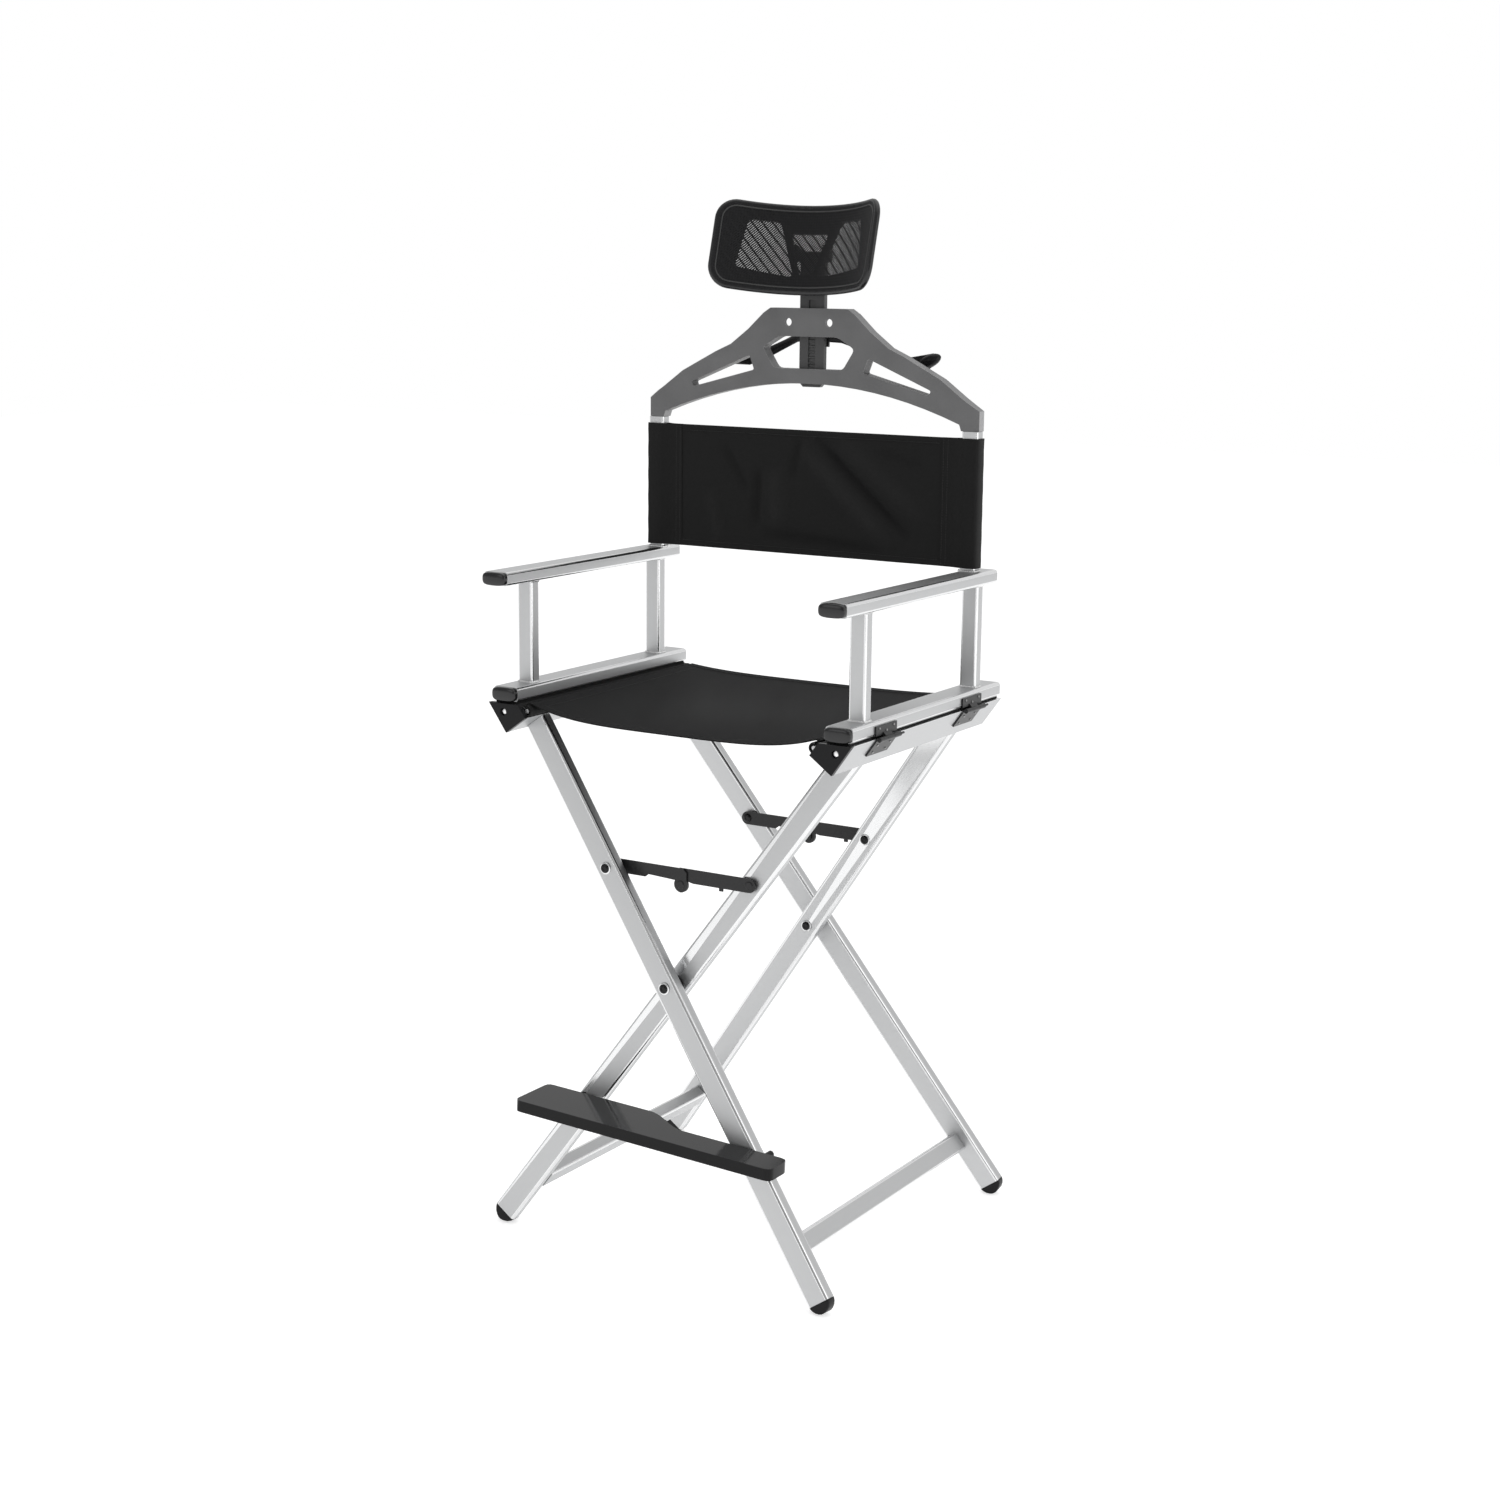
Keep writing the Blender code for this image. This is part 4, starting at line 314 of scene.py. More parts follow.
def grained_finish(name, colour, metallic, roughness, per_metre, tone_change, gloss_change, bump, shine=0.5):
    """Principled finish with the shared satin grain, on Object coordinates."""
    look, tree, shader = new_look(name)
    place = tree.nodes.new("ShaderNodeTexCoord")
    grain = tree.nodes.new("ShaderNodeGroup")
    grain.node_tree = grain_group
    feed(grain, {"Vector": place.outputs["Object"], "Colour": (*colour, 1.0), "Roughness": roughness,
                 "Grain per metre": per_metre, "Tone change": tone_change, "Gloss change": gloss_change})
    feed(shader, {"Base Color": grain.outputs["Colour"], "Roughness": grain.outputs["Roughness"],
                  "Metallic": metallic, "Specular IOR Level": shine,
                  "Normal": bumped(tree, grain.outputs["Height"], bump, GRAIN_DEPTH)})
    return look


# name, colour, metallic, roughness, grain per metre, tone change, gloss change, bump, shine
aluminium = grained_finish("satin_aluminium", (0.56, 0.565, 0.57), 1.0, 0.45, 1400.0, 0.10, 0.10, 0.10)
# Painted highlight: a paler, glossier aluminium for the tubes' corner faces and the rings round the bolt heads.
painted_highlight_metal = grained_finish("painted_highlight_metal", (0.78, 0.785, 0.79), 1.0, 0.20, 1400.0, 0.04, 0.04, 0.03)
black_bolt = grained_finish("blackened_bolt", (0.015, 0.015, 0.016), 0.6, 0.22, 900.0, 0.10, 0.08, 0.05)
black_steel = grained_finish("black_coated_steel", (0.016, 0.016, 0.017), 0.0, 0.36, 1100.0, 0.25, 0.15, 0.25, 0.40)
black_plastic = grained_finish("black_moulding", (0.012, 0.012, 0.013), 0.0, 0.34, 1600.0, 0.15, 0.10, 0.12, 0.18)
bridge_plastic = grained_finish("grey_bridge_moulding", (0.205, 0.205, 0.208), 0.0, 0.42, 2200.0, 1.0, 0.15, 0.15,
                                0.35)
footrest_plastic = grained_finish("footrest_moulding", (0.006, 0.006, 0.0065), 0.0, 0.12, 1500.0, 0.15, 0.06, 0.05,
                                  0.20)
# Painted highlight: a paler, glossier grey for the bridge's bevel faces, standing in for light caught on its edges.
painted_edge_highlight = grained_finish("painted_edge_highlight", (0.42, 0.42, 0.425), 0.0, 0.30, 2200.0, 0.30, 0.10, 0.05)
FINISH_OF_SLOT = {"frame_aluminium": aluminium, "bolt_steel": black_bolt, "black_steel": black_steel,
                  "black_plastic": black_plastic, "bridge_plastic": bridge_plastic,
                  "footrest_plastic": footrest_plastic}
print("finishes", sorted(FINISH_OF_SLOT))

# %% [markdown]
# ## Finer edges on the rigid pieces
# The frame's solids have true sizes but hard edges, and no real edge is perfectly sharp: it is the thin bright line
# along it that makes metal and plastic look real. Each rigid solid is copied, its loose triangles are merged, its flat
# faces joined, and its sharp edges get a small bevel. The copy then stands for the solid. On the bridge the bevels are
# painted paler and glossier than the moulding, a painted highlight along the edges: the operator leaves its new faces
# selected, so they are easy to tint. On the tubes the long slim faces of the rounded corners get a paler, glossier
# finish than the flats, a painted highlight along each corner. A Weighted Normal modifier keeps the flats flat to the
# eye and leaves all the turning of the light to the corners.

# %% Bevelled copies
BEVEL_OF_SLOT = {"frame_aluminium": 0.0005, "bolt_steel": 0.0004, "black_steel": 0.0003, "black_plastic": 0.0007,
                 "bridge_plastic": 0.0012, "footrest_plastic": 0.0010}
PAINTED_HIGHLIGHT_OF_SLOT = {"bridge_plastic": painted_edge_highlight, "frame_aluminium": painted_highlight_metal}
CORNER_SHARE = 0.25  # a corner face is smaller than this share of the widest face
LONG_SHARE = 0.5  # and longer than this share of the piece
MERGE_WITHIN = 0.00001
FLAT_WITHIN = math.radians(0.6)
SHARP = math.radians(38.0)
SMOOTH_BELOW = math.radians(32.0)


def activate(obj):
    bpy.ops.object.select_all(action="DESELECT")
    obj.select_set(True)
    bpy.context.view_layer.objects.active = obj


def dress(piece, look):
    """Give a piece one finish and no other."""
    piece.data.materials.clear()
    piece.data.materials.append(look)


def face_reach(mesh, face):
    """Longest side of a face."""
    spots = [mesh.vertices[k].co for k in face.vertices]
    return max((a - b).length for a, b in zip(spots, spots[1:] + spots[:1]))


def fine_copy(node_name, bevel):
    """Merged copy of a solid with bevelled sharp edges, riding where the solid rides."""
    piece = new_object("fine_" + node_name, nodes[node_name].data.copy())
    activate(piece)
    bpy.ops.mesh.customdata_custom_splitnormals_clear()
    bpy.ops.object.mode_set(mode="EDIT")
    bpy.ops.mesh.select_all(action="SELECT")
    bpy.ops.mesh.remove_doubles(threshold=MERGE_WITHIN)
    bpy.ops.mesh.dissolve_limited(angle_limit=FLAT_WITHIN)
    bpy.ops.mesh.select_all(action="DESELECT")
    bpy.ops.mesh.select_mode(type="EDGE")
    bpy.ops.mesh.edges_select_sharp(sharpness=SHARP)
    bpy.ops.mesh.bevel(offset=bevel, segments=2, affect="EDGES", clamp_overlap=True)
    bpy.ops.object.mode_set(mode="OBJECT")
    bpy.ops.object.shade_smooth_by_angle(angle=SMOOTH_BELOW)
    flats = piece.modifiers.new("flat_faces", "WEIGHTED_NORMAL")
    flats.keep_sharp = True
    bpy.ops.object.modifier_apply(modifier=flats.name)
    slot_name = slot_of_node[node_name]
    dress(piece, FINISH_OF_SLOT[slot_name])
    # Painted highlight: the tubes' slim corner faces and the bridge's new bevel faces take the paler second finish.
    if slot_name in PAINTED_HIGHLIGHT_OF_SLOT:
        piece.data.materials.append(PAINTED_HIGHLIGHT_OF_SLOT[slot_name])
        widest = max(face.area for face in piece.data.polygons)
        longest = max(piece.dimensions)
        for face in piece.data.polygons:
            slim = face.area < CORNER_SHARE * widest and face_reach(piece.data, face) > LONG_SHARE * longest
            face.material_index = int(slim if slot_name == "frame_aluminium" else face.select)
    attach(piece, body_of_node[node_name])
    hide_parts(node_name)
    return piece


fine_pieces = {}
for node_name, slot in slot_of_node.items():
    if slot in FINISH_OF_SLOT and not node_name.endswith(("_armrest_cap", "_arm_rail_cap")):
        fine_pieces[node_name] = fine_copy(node_name, BEVEL_OF_SLOT[slot])
print("fine copies", len(fine_pieces), "faces", sum(len(p.data.polygons) for p in fine_pieces.values()))

# %% [markdown]
# ## Two finishes on one solid
# A few solids stand for two things: the strip on a seat rail's top is rubber, and the same black finish is put on the
# lip and inner side of the cloth's channel as painted shade, where the aluminium lies in shadow; the low bolt heads on
# the inner legs are blackened steel. A second material is added to the copy, and the faces that belong to it are found
# by their place. The mast is a greyer moulding than the caps, so its material is changed.

# %% Rubber strips, painted shade in the channels, and bolt heads on the copies
# This black finish is the real rubber strip and also painted shade on the channel's lip and inner side.
rubber_and_painted_shade = grained_finish("strip_rubber_and_painted_shade", (0.012, 0.012, 0.012), 0.0, 0.7, 1800.0, 0.3, 0.1, 0.3, 0.2)


def second_finish(node_name, look, belongs):
    piece = fine_pieces[node_name]
    piece.data.materials.append(look)
    count = 0
    for face in piece.data.polygons:
        if belongs(face.center, face.normal):
            face.material_index = len(piece.data.materials) - 1
            count += 1
    return count


mast_grey = grained_finish("mast_moulding", (0.085, 0.085, 0.086), 0.0, 0.40, 1800.0, 0.5, 0.1, 0.1, 0.35)
fine_pieces["headrest_mast"].data.materials[0] = mast_grey
rail_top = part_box("left_seat_rail")[1].z
STRIP_HEIGHT = 0.0016
LIP_BELOW, LIP_INNER, LIP_OUTER = 0.0046, 0.2235, 0.2620
HEAD_FACES_WITHIN = 0.0062
SQUARE_TO = 0.9  # share of a face's direction that counts as facing straight


def on_strip_or_painted_shade(at, facing):
    """The rubber strip and the rail's sawn ends, and the channel's lip and inner side as painted shade."""
    # Lip and inner side: painted shade, black where the aluminium lies in shadow.
    lip = at.z > rail_top - LIP_BELOW and LIP_INNER < abs(at.x) < LIP_OUTER
    inner = abs(at.x) < LIP_INNER and facing.x * at.x < 0.0
    return at.z > rail_top - STRIP_HEIGHT or lip or inner or abs(facing.y) > SQUARE_TO


strip_and_shade_faces = sum(second_finish(hand + "_seat_rail", rubber_and_painted_shade, on_strip_or_painted_shade) for hand in ("left", "right"))
head_faces = 0
for which in ("front", "rear"):
    low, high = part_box(which + "_brace_bolt")
    axis = Vector(((low.x + high.x) / -2, 0.0, (low.z + high.z) / 2))

    def on_head(at, _, axis=axis):
        return math.hypot(at.x - axis.x, at.z - axis.z) < HEAD_FACES_WITHIN

    head_faces += second_finish(f"inner_{which}_leg", black_bolt, on_head)
print("strip faces", strip_and_shade_faces, "bolt head faces", head_faces)

# %% [markdown]
# ## Canvas
# Seat and back are cut from heavy black woven canvas. A weave could be a picture, but a node pattern stays sharp at any
# distance: two sine waves cross as warp and weft do, on a UV map that holds the flat cut in metres, so the threads
# follow the cloth over every fold. A little sheen stands for the fibre ends that catch light at a grazing angle. A
# point attribute paints light and shade into the cloth's colour: raised folds paler and valleys darker, painted light
# that shows the folds, and on the seat also paler in the middle and darker towards the sides.

# %% Canvas finish
THREADS_PER_METRE = 1100.0
WEAVE_BUMP, WEAVE_DEPTH = 0.35, 0.0003


def canvas_finish(name, colour, threads, sheen, shine=0.25):
    """Principled finish with the shared weave, on the UV map of the flat cut."""
    look, tree, shader = new_look(name)
    flat_cut = tree.nodes.new("ShaderNodeUVMap")
    flat_cut.uv_map = "cloth"
    weave = tree.nodes.new("ShaderNodeGroup")
    weave.node_tree = weave_group
    feed(weave, {"Vector": flat_cut.outputs["UV"], "Colour": (*colour, 1.0), "Threads per metre": threads})
    # Painted light and shade on the folds, with the seat's middle-to-side tone, from the sheet's point attribute.
    fold_shade_and_tone = tree.nodes.new("ShaderNodeAttribute")
    fold_shade_and_tone.attribute_name = "fold_shade_and_tone"
    paler = math_node(tree, "ADD", fold_shade_and_tone.outputs["Fac"], 1.0)
    feed(shader, {"Base Color": scaled(tree, weave.outputs["Colour"], paler), "Roughness": 0.82,
                  "Specular IOR Level": shine, "Sheen Weight": sheen, "Sheen Roughness": 0.45,
                  "Normal": bumped(tree, weave.outputs["Height"], WEAVE_BUMP, WEAVE_DEPTH)})
    return look


back_canvas = canvas_finish("black_back_canvas", (0.0150, 0.0150, 0.0150), THREADS_PER_METRE, 0.10, 0.20)
seat_canvas = canvas_finish("charcoal_seat_canvas", (0.0250, 0.0250, 0.0255), THREADS_PER_METRE, 0.0, 0.10)
thread_look = grained_finish("sewing_thread", (0.030, 0.030, 0.031), 0.0, 0.6, 2400.0, 0.3, 0.1, 0.3)
print("canvas", back_canvas.name, seat_canvas.name)

# %% [markdown]
# ## Cloth by its flat cut
# Stretched canvas has little to gain from a simulation: it hangs in a plain curve and keeps a few set creases. So each
# sheet starts as a grid of its flat cut, cut once more along its hem lines, and every point moves onto a surface that
# is a function of the two flat measures. A creased line is a soft ridge or valley that fades out at both ends.

# %% Sheet helpers
CLOTH_THICK = 0.0016
CLOTH_SMOOTH = math.radians(50.0)
FADE_BEYOND, FADE_WITHIN = 0.15, 0.25  # shares of a crease's length over which it fades
HEM_FOLD = 0.0007
HEM_STEP = 0.0012


def smooth(low, high, value):
    """0 below low, 1 above high, and an even curve between."""
    t = min(max((value - low) / (high - low), 0.0), 1.0)
    return t * t * (3.0 - 2.0 * t)


def crease(across, along, start, end, width, height):
    """Height of a soft ridge along a line on the flat cut."""
    run = Vector((end[0] - start[0], end[1] - start[1]))
    from_start = Vector((across - start[0], along - start[1]))
    share = from_start.dot(run) / run.length_squared
    aside = (from_start - run * min(max(share, 0.0), 1.0)).length
    fade = smooth(-FADE_BEYOND, FADE_WITHIN, share) * (1.0 - smooth(1.0 - FADE_WITHIN, 1.0 + FADE_BEYOND, share))
    return height * fade * math.exp(-(aside / width) ** 2)


def cloth_sheet(name, width, length, columns, rows, surface, hem_lines=(), tone_and_fold_shade=None):
    """Grid of the flat cut with its UV map in metres, moved onto a surface of the two flat measures."""
    bpy.ops.object.select_all(action="DESELECT")
    bpy.ops.mesh.primitive_grid_add(x_subdivisions=columns, y_subdivisions=rows, size=1.0)
    piece = bpy.context.object
    piece.name = name
    bpy.ops.object.mode_set(mode="EDIT")
    bpy.ops.mesh.select_all(action="SELECT")
    bpy.ops.transform.resize(value=(width, length, 1.0))
    for along in hem_lines:
        bpy.ops.mesh.select_all(action="SELECT")
        bpy.ops.mesh.bisect(plane_co=(0.0, along, 0.0), plane_no=(0.0, 1.0, 0.0))
    bpy.ops.object.mode_set(mode="OBJECT")
    flat_map = piece.data.uv_layers.active
    flat_map.name = "cloth"
    for loop in piece.data.loops:
        flat_map.data[loop.index].uv = piece.data.vertices[loop.vertex_index].co.xy
    # Painted light and shade on the folds, with any plain tone, kept per point for the finish.
    if tone_and_fold_shade:
        fold_shade_and_tone = piece.data.attributes.new("fold_shade_and_tone", "FLOAT", "POINT")
        for vertex in piece.data.vertices:
            fold_shade_and_tone.data[vertex.index].value = tone_and_fold_shade(vertex.co.x, vertex.co.y)
    for vertex in piece.data.vertices:
        vertex.co = surface(vertex.co.x, vertex.co.y)
    return piece


def thicken(piece, thickness, look):
    """Give the sheet its two faces and its finish."""
    walls = piece.modifiers.new("cloth_faces", "SOLIDIFY")
    walls.thickness = thickness
    walls.offset = 0.0
    activate(piece)
    bpy.ops.object.modifier_apply(modifier=walls.name)
    bpy.ops.object.shade_smooth_by_angle(angle=CLOTH_SMOOTH)
    dress(piece, look)


print("cloth", CLOTH_THICK * 1000, "mm thick")

# %% [markdown]
# ## Stitches
# A lockstitch shows as a row of short thread dashes. One dash is modelled, a six-sided rod with rounded ends, and a row
# is that dash set down again and again along a line on the cloth, all in one mesh.

# %% One stitch and rows of it
STITCH_LENGTH = 0.0026
STITCH_PITCH = 0.0036
STITCH_RADIUS = 0.00035
STITCH_BODY, STITCH_END, STITCH_TIP = 0.7, 0.15, 0.4  # shares of the length, twice, and of the radius
NORMAL_STEP = 0.0005
ALONG_X, ALONG_Y = (0.0, math.pi / 2, 0.0), (math.pi / 2, 0.0, 0.0)


def lying_cylinder(vertices, radius, depth, turn):
    bpy.ops.object.select_all(action="DESELECT")
    bpy.ops.mesh.primitive_cylinder_add(vertices=vertices, radius=radius, depth=depth, rotation=turn)
    bpy.ops.object.transform_apply(location=False, rotation=True, scale=False)
    return bpy.context.object


one_stitch = lying_cylinder(6, STITCH_RADIUS, STITCH_LENGTH * STITCH_BODY, ALONG_X)
for end in (-1, 1):
    for face in one_stitch.data.polygons:
        face.select = face.normal.x * end > SQUARE_TO
    bpy.ops.object.mode_set(mode="EDIT")
    bpy.ops.mesh.extrude_region_move(TRANSFORM_OT_translate={"value": (end * STITCH_LENGTH * STITCH_END, 0.0, 0.0)})
    bpy.ops.transform.resize(value=(1.0, STITCH_TIP, STITCH_TIP))
    bpy.ops.object.mode_set(mode="OBJECT")
stitch_points = [v.co.copy() for v in one_stitch.data.vertices]
stitch_faces = [tuple(f.vertices) for f in one_stitch.data.polygons]
bpy.data.objects.remove(one_stitch)


def stitch_rows(name, rows):
    """One piece of stitches: each row is a list of (point, normal) along the cloth's face."""
    points, faces = [], []
    for row in rows:
        travelled, due = 0.0, STITCH_PITCH / 2
        for (a, normal), (b, _) in zip(row, row[1:]):
            step = (b - a).length
            while due <= travelled + step:
                along = (b - a).normalized()
                middle = a + along * (due - travelled)
                aside = normal.cross(along).normalized()
                up = along.cross(aside)
                first = len(points)
                points += [middle + along * p.x + aside * p.y + up * p.z for p in stitch_points]
                faces += [tuple(first + k for k in face) for face in stitch_faces]
                due += STITCH_PITCH
            travelled += step
    mesh = bpy.data.meshes.new(name)
    mesh.from_pydata(points, [], faces)
    piece = new_object(name, mesh)
    piece.data.materials.append(thread_look)
    return piece


def surface_row(surface, start, end, lift, count=60):
    """Points and normals of a straight sewn line on a cloth surface, lifted off its middle."""
    row = []
    for k in range(count + 1):
        across = start[0] + (end[0] - start[0]) * k / count
        along = start[1] + (end[1] - start[1]) * k / count
        here = surface(across, along)
        aside = surface(across + NORMAL_STEP, along) - here
        normal = aside.cross(surface(across, along + NORMAL_STEP) - here).normalized()
        row.append((here + normal * lift, normal))
    return row


print("one stitch", len(stitch_faces), "faces")

# %% [markdown]
# ## Seat
# The seat is a plain sheet between two rods. It comes up out of each rail's slot, goes over the round channel and hangs
# to its deepest at the front edge, as a used seat does.

# %% Seat cloth
seat_low, seat_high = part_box("seat_sling")
rod_low, rod_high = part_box("left_seat_rod")
rod_middle = (rod_low + rod_high) / 2
SEAT_HEM = 0.016
SEAT_CALM_FROM, SEAT_CALM_TO = 0.02, 0.06  # in from the sides, where folds begin
ROW_END, SIDE_ROW, HEM_ROW = 0.016, 0.022, 0.0025  # places of the sewn rows
SAG_FRONT, SAG_REAR, SAG_MIDDLE, SAG_POWER = 0.0184, 0.0065, 0.0030, 4
CHANNEL_RADIUS = 0.0075
CHANNEL_CLEAR = 0.0005
WRAP_RADIUS = CHANNEL_RADIUS + CHANNEL_CLEAR + CLOTH_THICK / 2
WRAP_START = math.radians(57.0)
rod_x = -rod_middle.x
seat_length = seat_high.y - seat_low.y


def seat_line(back):
    """Slope of the cloth at the channel and its length round it, at a share of the seat's length from the front."""
    sag = SAG_FRONT + (SAG_REAR - SAG_FRONT) * back + SAG_MIDDLE * 4.0 * back * (1.0 - back)
    slope = math.atan(SAG_POWER * sag / rod_x)
    wrap = WRAP_RADIUS * (math.pi / 2 + slope - WRAP_START)
    return slope, wrap


SEAT_CREASES = (  # start, end, width, height
    ((-0.15, 0.12), (0.02, -0.15), 0.020, 0.0011),
    ((-0.03, 0.14), (0.10, -0.12), 0.016, -0.0010),
    ((-0.17, 0.05), (-0.07, -0.17), 0.016, -0.0009),
    ((0.08, 0.10), (0.17, -0.10), 0.020, 0.0009),
)
seat_half = rod_x + seat_line(0.0)[1]
seat_width = 2.0 * seat_half


def seat_folds(across, along):
    calm = smooth(seat_half - SEAT_CALM_FROM, seat_half - SEAT_CALM_TO, abs(across))
    return calm * sum(crease(across, along, *fold) for fold in SEAT_CREASES)


def seat_surface(across, along):
    back = along / seat_length + 0.5
    slope, wrap = seat_line(back)
    edge_x = rod_x - WRAP_RADIUS * math.sin(slope)
    edge_z = rod_middle.z + WRAP_RADIUS * math.cos(slope)
    free = seat_half - wrap
    if abs(across) > free:
        angle = math.pi / 2 + slope - (abs(across) - free) / WRAP_RADIUS
        side_x = rod_x + WRAP_RADIUS * math.cos(angle)
        height = rod_middle.z + WRAP_RADIUS * math.sin(angle)
    else:
        share = abs(across) / free
        side_x = edge_x * share
        height = edge_z - math.tan(slope) * edge_x / SAG_POWER * (1.0 - share ** SAG_POWER)
    to_edge = seat_length / 2 - abs(along)
    height += HEM_FOLD * (1.0 - smooth(SEAT_HEM - HEM_STEP, SEAT_HEM, to_edge))
    height += seat_folds(across, along)
    return Vector((math.copysign(side_x, across), (seat_low.y + seat_high.y) / 2 + along, height))


# The seat's colour is paler in the middle and darker towards the sides.
MIDDLE_WIDE, MIDDLE_LONG = 0.15, 0.11
MIDDLE_PALER, EDGE_DARKER, SEAT_PAINTED_FOLD_LIGHT = 0.55, 0.28, 0.16
SEAT_FOLD = 0.0011


# Paler in the middle and darker towards the sides, plus painted light and shade on the folds.
def seat_tone_and_fold_shade(across, along):
    middle_share = math.exp(-(across / MIDDLE_WIDE) ** 2 - (along / MIDDLE_LONG) ** 2)
    return MIDDLE_PALER * middle_share - EDGE_DARKER + seat_folds(across, along) / SEAT_FOLD * SEAT_PAINTED_FOLD_LIGHT


hem_at = seat_length / 2 - SEAT_HEM
seat_cloth = cloth_sheet("seat_cloth", seat_width, seat_length, 84, 64, seat_surface,
                         (-hem_at, -hem_at + HEM_STEP, hem_at - HEM_STEP, hem_at), seat_tone_and_fold_shade)
thicken(seat_cloth, CLOTH_THICK, seat_canvas)
sewn_half = seat_half - ROW_END
hem_row = hem_at + HEM_ROW
side_row = seat_half - SIDE_ROW
seat_lift = CLOTH_THICK / 2 + STITCH_RADIUS * 0.5
seat_stitches = stitch_rows("seat_stitches", [
    surface_row(seat_surface, (-sewn_half, side * hem_row), (sewn_half, side * hem_row), seat_lift)
    for side in (-1, 1)] + [
    surface_row(seat_surface, (side * side_row, -hem_at), (side * side_row, hem_at), seat_lift)
    for side in (-1, 1)])
for piece in (seat_cloth, seat_stitches):
    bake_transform(piece)
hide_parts("seat_sling")
print("seat cloth", round(seat_width, 4), "x", round(seat_length, 4), "m")

# %% [markdown]
# ## Hems round the seat rods
# Each side of the seat ends in a sewn loop with a metal rod in it, and the rail's channel grips that loop. Only its
# end shows, beside the rail's cap: a ring of cloth round a bright rod. The ring is a sheet rolled round the rod.

# %% Hem loops


def rolled_path(points, rounds):
    """Soft line through corner points: each round cuts every corner off at a quarter."""
    for _ in range(rounds):
        cut = [points[0]]
        for a, b in zip(points, points[1:]):
            cut += [a * 0.75 + b * 0.25, a * 0.25 + b * 0.75]
        points = cut + [points[-1]]
    return points


def path_at(points, distance):
    """Point a given distance along a line of points."""
    for a, b in zip(points, points[1:]):
        step = (b - a).length
        if distance <= step:
            return a + (b - a) * (distance / step)
        distance -= step
    return points[-1]


def path_length(points):
    return sum((b - a).length for a, b in zip(points, points[1:]))


ROD_RADIUS = (rod_high.z - rod_low.z) / 2
LOOP_CLEAR = 0.0011
LOOP_RADIUS = ROD_RADIUS + LOOP_CLEAR
SLOT_ANGLE = math.radians(65.0)
LOOP_OPEN = math.radians(20.0)
LOOP_STEPS = 24
HEM_TAIL = 0.0073
TAIL_APART = 0.0006
HEM_THICK = 0.0014
for hand, side, carrier in (("left", -1, "outer_frame"), ("right", 1, "inner_frame")):
    loop_low, loop_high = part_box(hand + "_seat_hem")
    tail = Vector((math.cos(SLOT_ANGLE), math.sin(SLOT_ANGLE)))
    beside = Vector((-tail.y, tail.x))
    ring = []
    for k in range(LOOP_STEPS + 1):
        angle = SLOT_ANGLE + LOOP_OPEN + k * (math.tau - 2 * LOOP_OPEN) / LOOP_STEPS
        ring.append(Vector((math.cos(angle), math.sin(angle))) * LOOP_RADIUS)
    loop_path = [tail * HEM_TAIL + beside * TAIL_APART] + ring + [tail * HEM_TAIL - beside * TAIL_APART]
    loop_length = path_length(loop_path)
    loop_depth = loop_high.y - loop_low.y

    def loop_surface(across, along, loop_path=loop_path, loop_length=loop_length, side=side):
        spot = path_at(loop_path, across + loop_length / 2)
        return Vector((side * (rod_x + spot.x), (loop_low.y + loop_high.y) / 2 + along, rod_middle.z + spot.y))

    hem = cloth_sheet(hand + "_rod_hem", loop_length, loop_depth, 48, 4, loop_surface)
    thicken(hem, HEM_THICK, seat_canvas)
    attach(hem, carrier)
    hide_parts(hand + "_seat_hem")
print("hem loop", round(loop_length, 4), "m round")

# %% [markdown]
# ## Back
# The back is a panel sewn to two sleeves that slip over the posts. It hangs slack enough for a few set folds: one long
# slanting crease, one upright fold and some short ones, which are read off the photograph. When the chair folds, the
# panel rides with the left post while each sleeve stays on its own post.

# %% Back panel
back_low, back_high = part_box("back_sling")
FLAP_REACH = 0.0003
BACK_HEM = 0.010
BACK_CALM = 0.012
BACK_ROW = 0.002
back_width = back_high.x - back_low.x + 2 * FLAP_REACH
back_length = back_high.z - back_low.z
back_y = (back_low.y + back_high.y) / 2


def on_back(share, down):
    """Flat measures of a place given as shares from the panel's left and top edges."""
    return (share - 0.5) * back_width, (0.5 - down) * back_length


CREASE_DEPTH = 1.9
BACK_FOLD = 0.0024
BACK_PAINTED_FOLD_LIGHT = 0.42
BACK_CREASES = (  # start, end, width, height towards the sitter
    (on_back(0.54, 0.08), on_back(0.88, 0.80), 0.0075, -0.0030),
    (on_back(0.49, 0.16), on_back(0.80, 0.86), 0.0110, 0.0024),
    (on_back(0.62, 0.06), on_back(0.93, 0.66), 0.0130, 0.0017),
    (on_back(0.31, 0.34), on_back(0.30, 0.80), 0.0080, -0.0018),
    (on_back(0.38, 0.34), on_back(0.39, 0.82), 0.0130, 0.0020),
    (on_back(0.34, 0.86), on_back(0.78, 0.93), 0.0090, -0.0018),
    (on_back(0.47, 0.06), on_back(0.44, 0.40), 0.0080, -0.0014),
    (on_back(0.17, 0.14), on_back(0.27, 0.52), 0.0080, -0.0014),
    (on_back(0.12, 0.55), on_back(0.16, 0.95), 0.0100, 0.0012),
    (on_back(0.93, 0.25), on_back(0.76, 0.14), 0.0080, -0.0010),
)


def back_folds(across, along):
    calm = smooth(back_width / 2, back_width / 2 - BACK_CALM, abs(across))
    return calm * CREASE_DEPTH * sum(crease(across, along, *fold) for fold in BACK_CREASES)


# Painted light and shade: raised folds paler, valleys darker.
def back_fold_shade(across, along):
    return BACK_PAINTED_FOLD_LIGHT * back_folds(across, along) / (BACK_FOLD * CREASE_DEPTH)


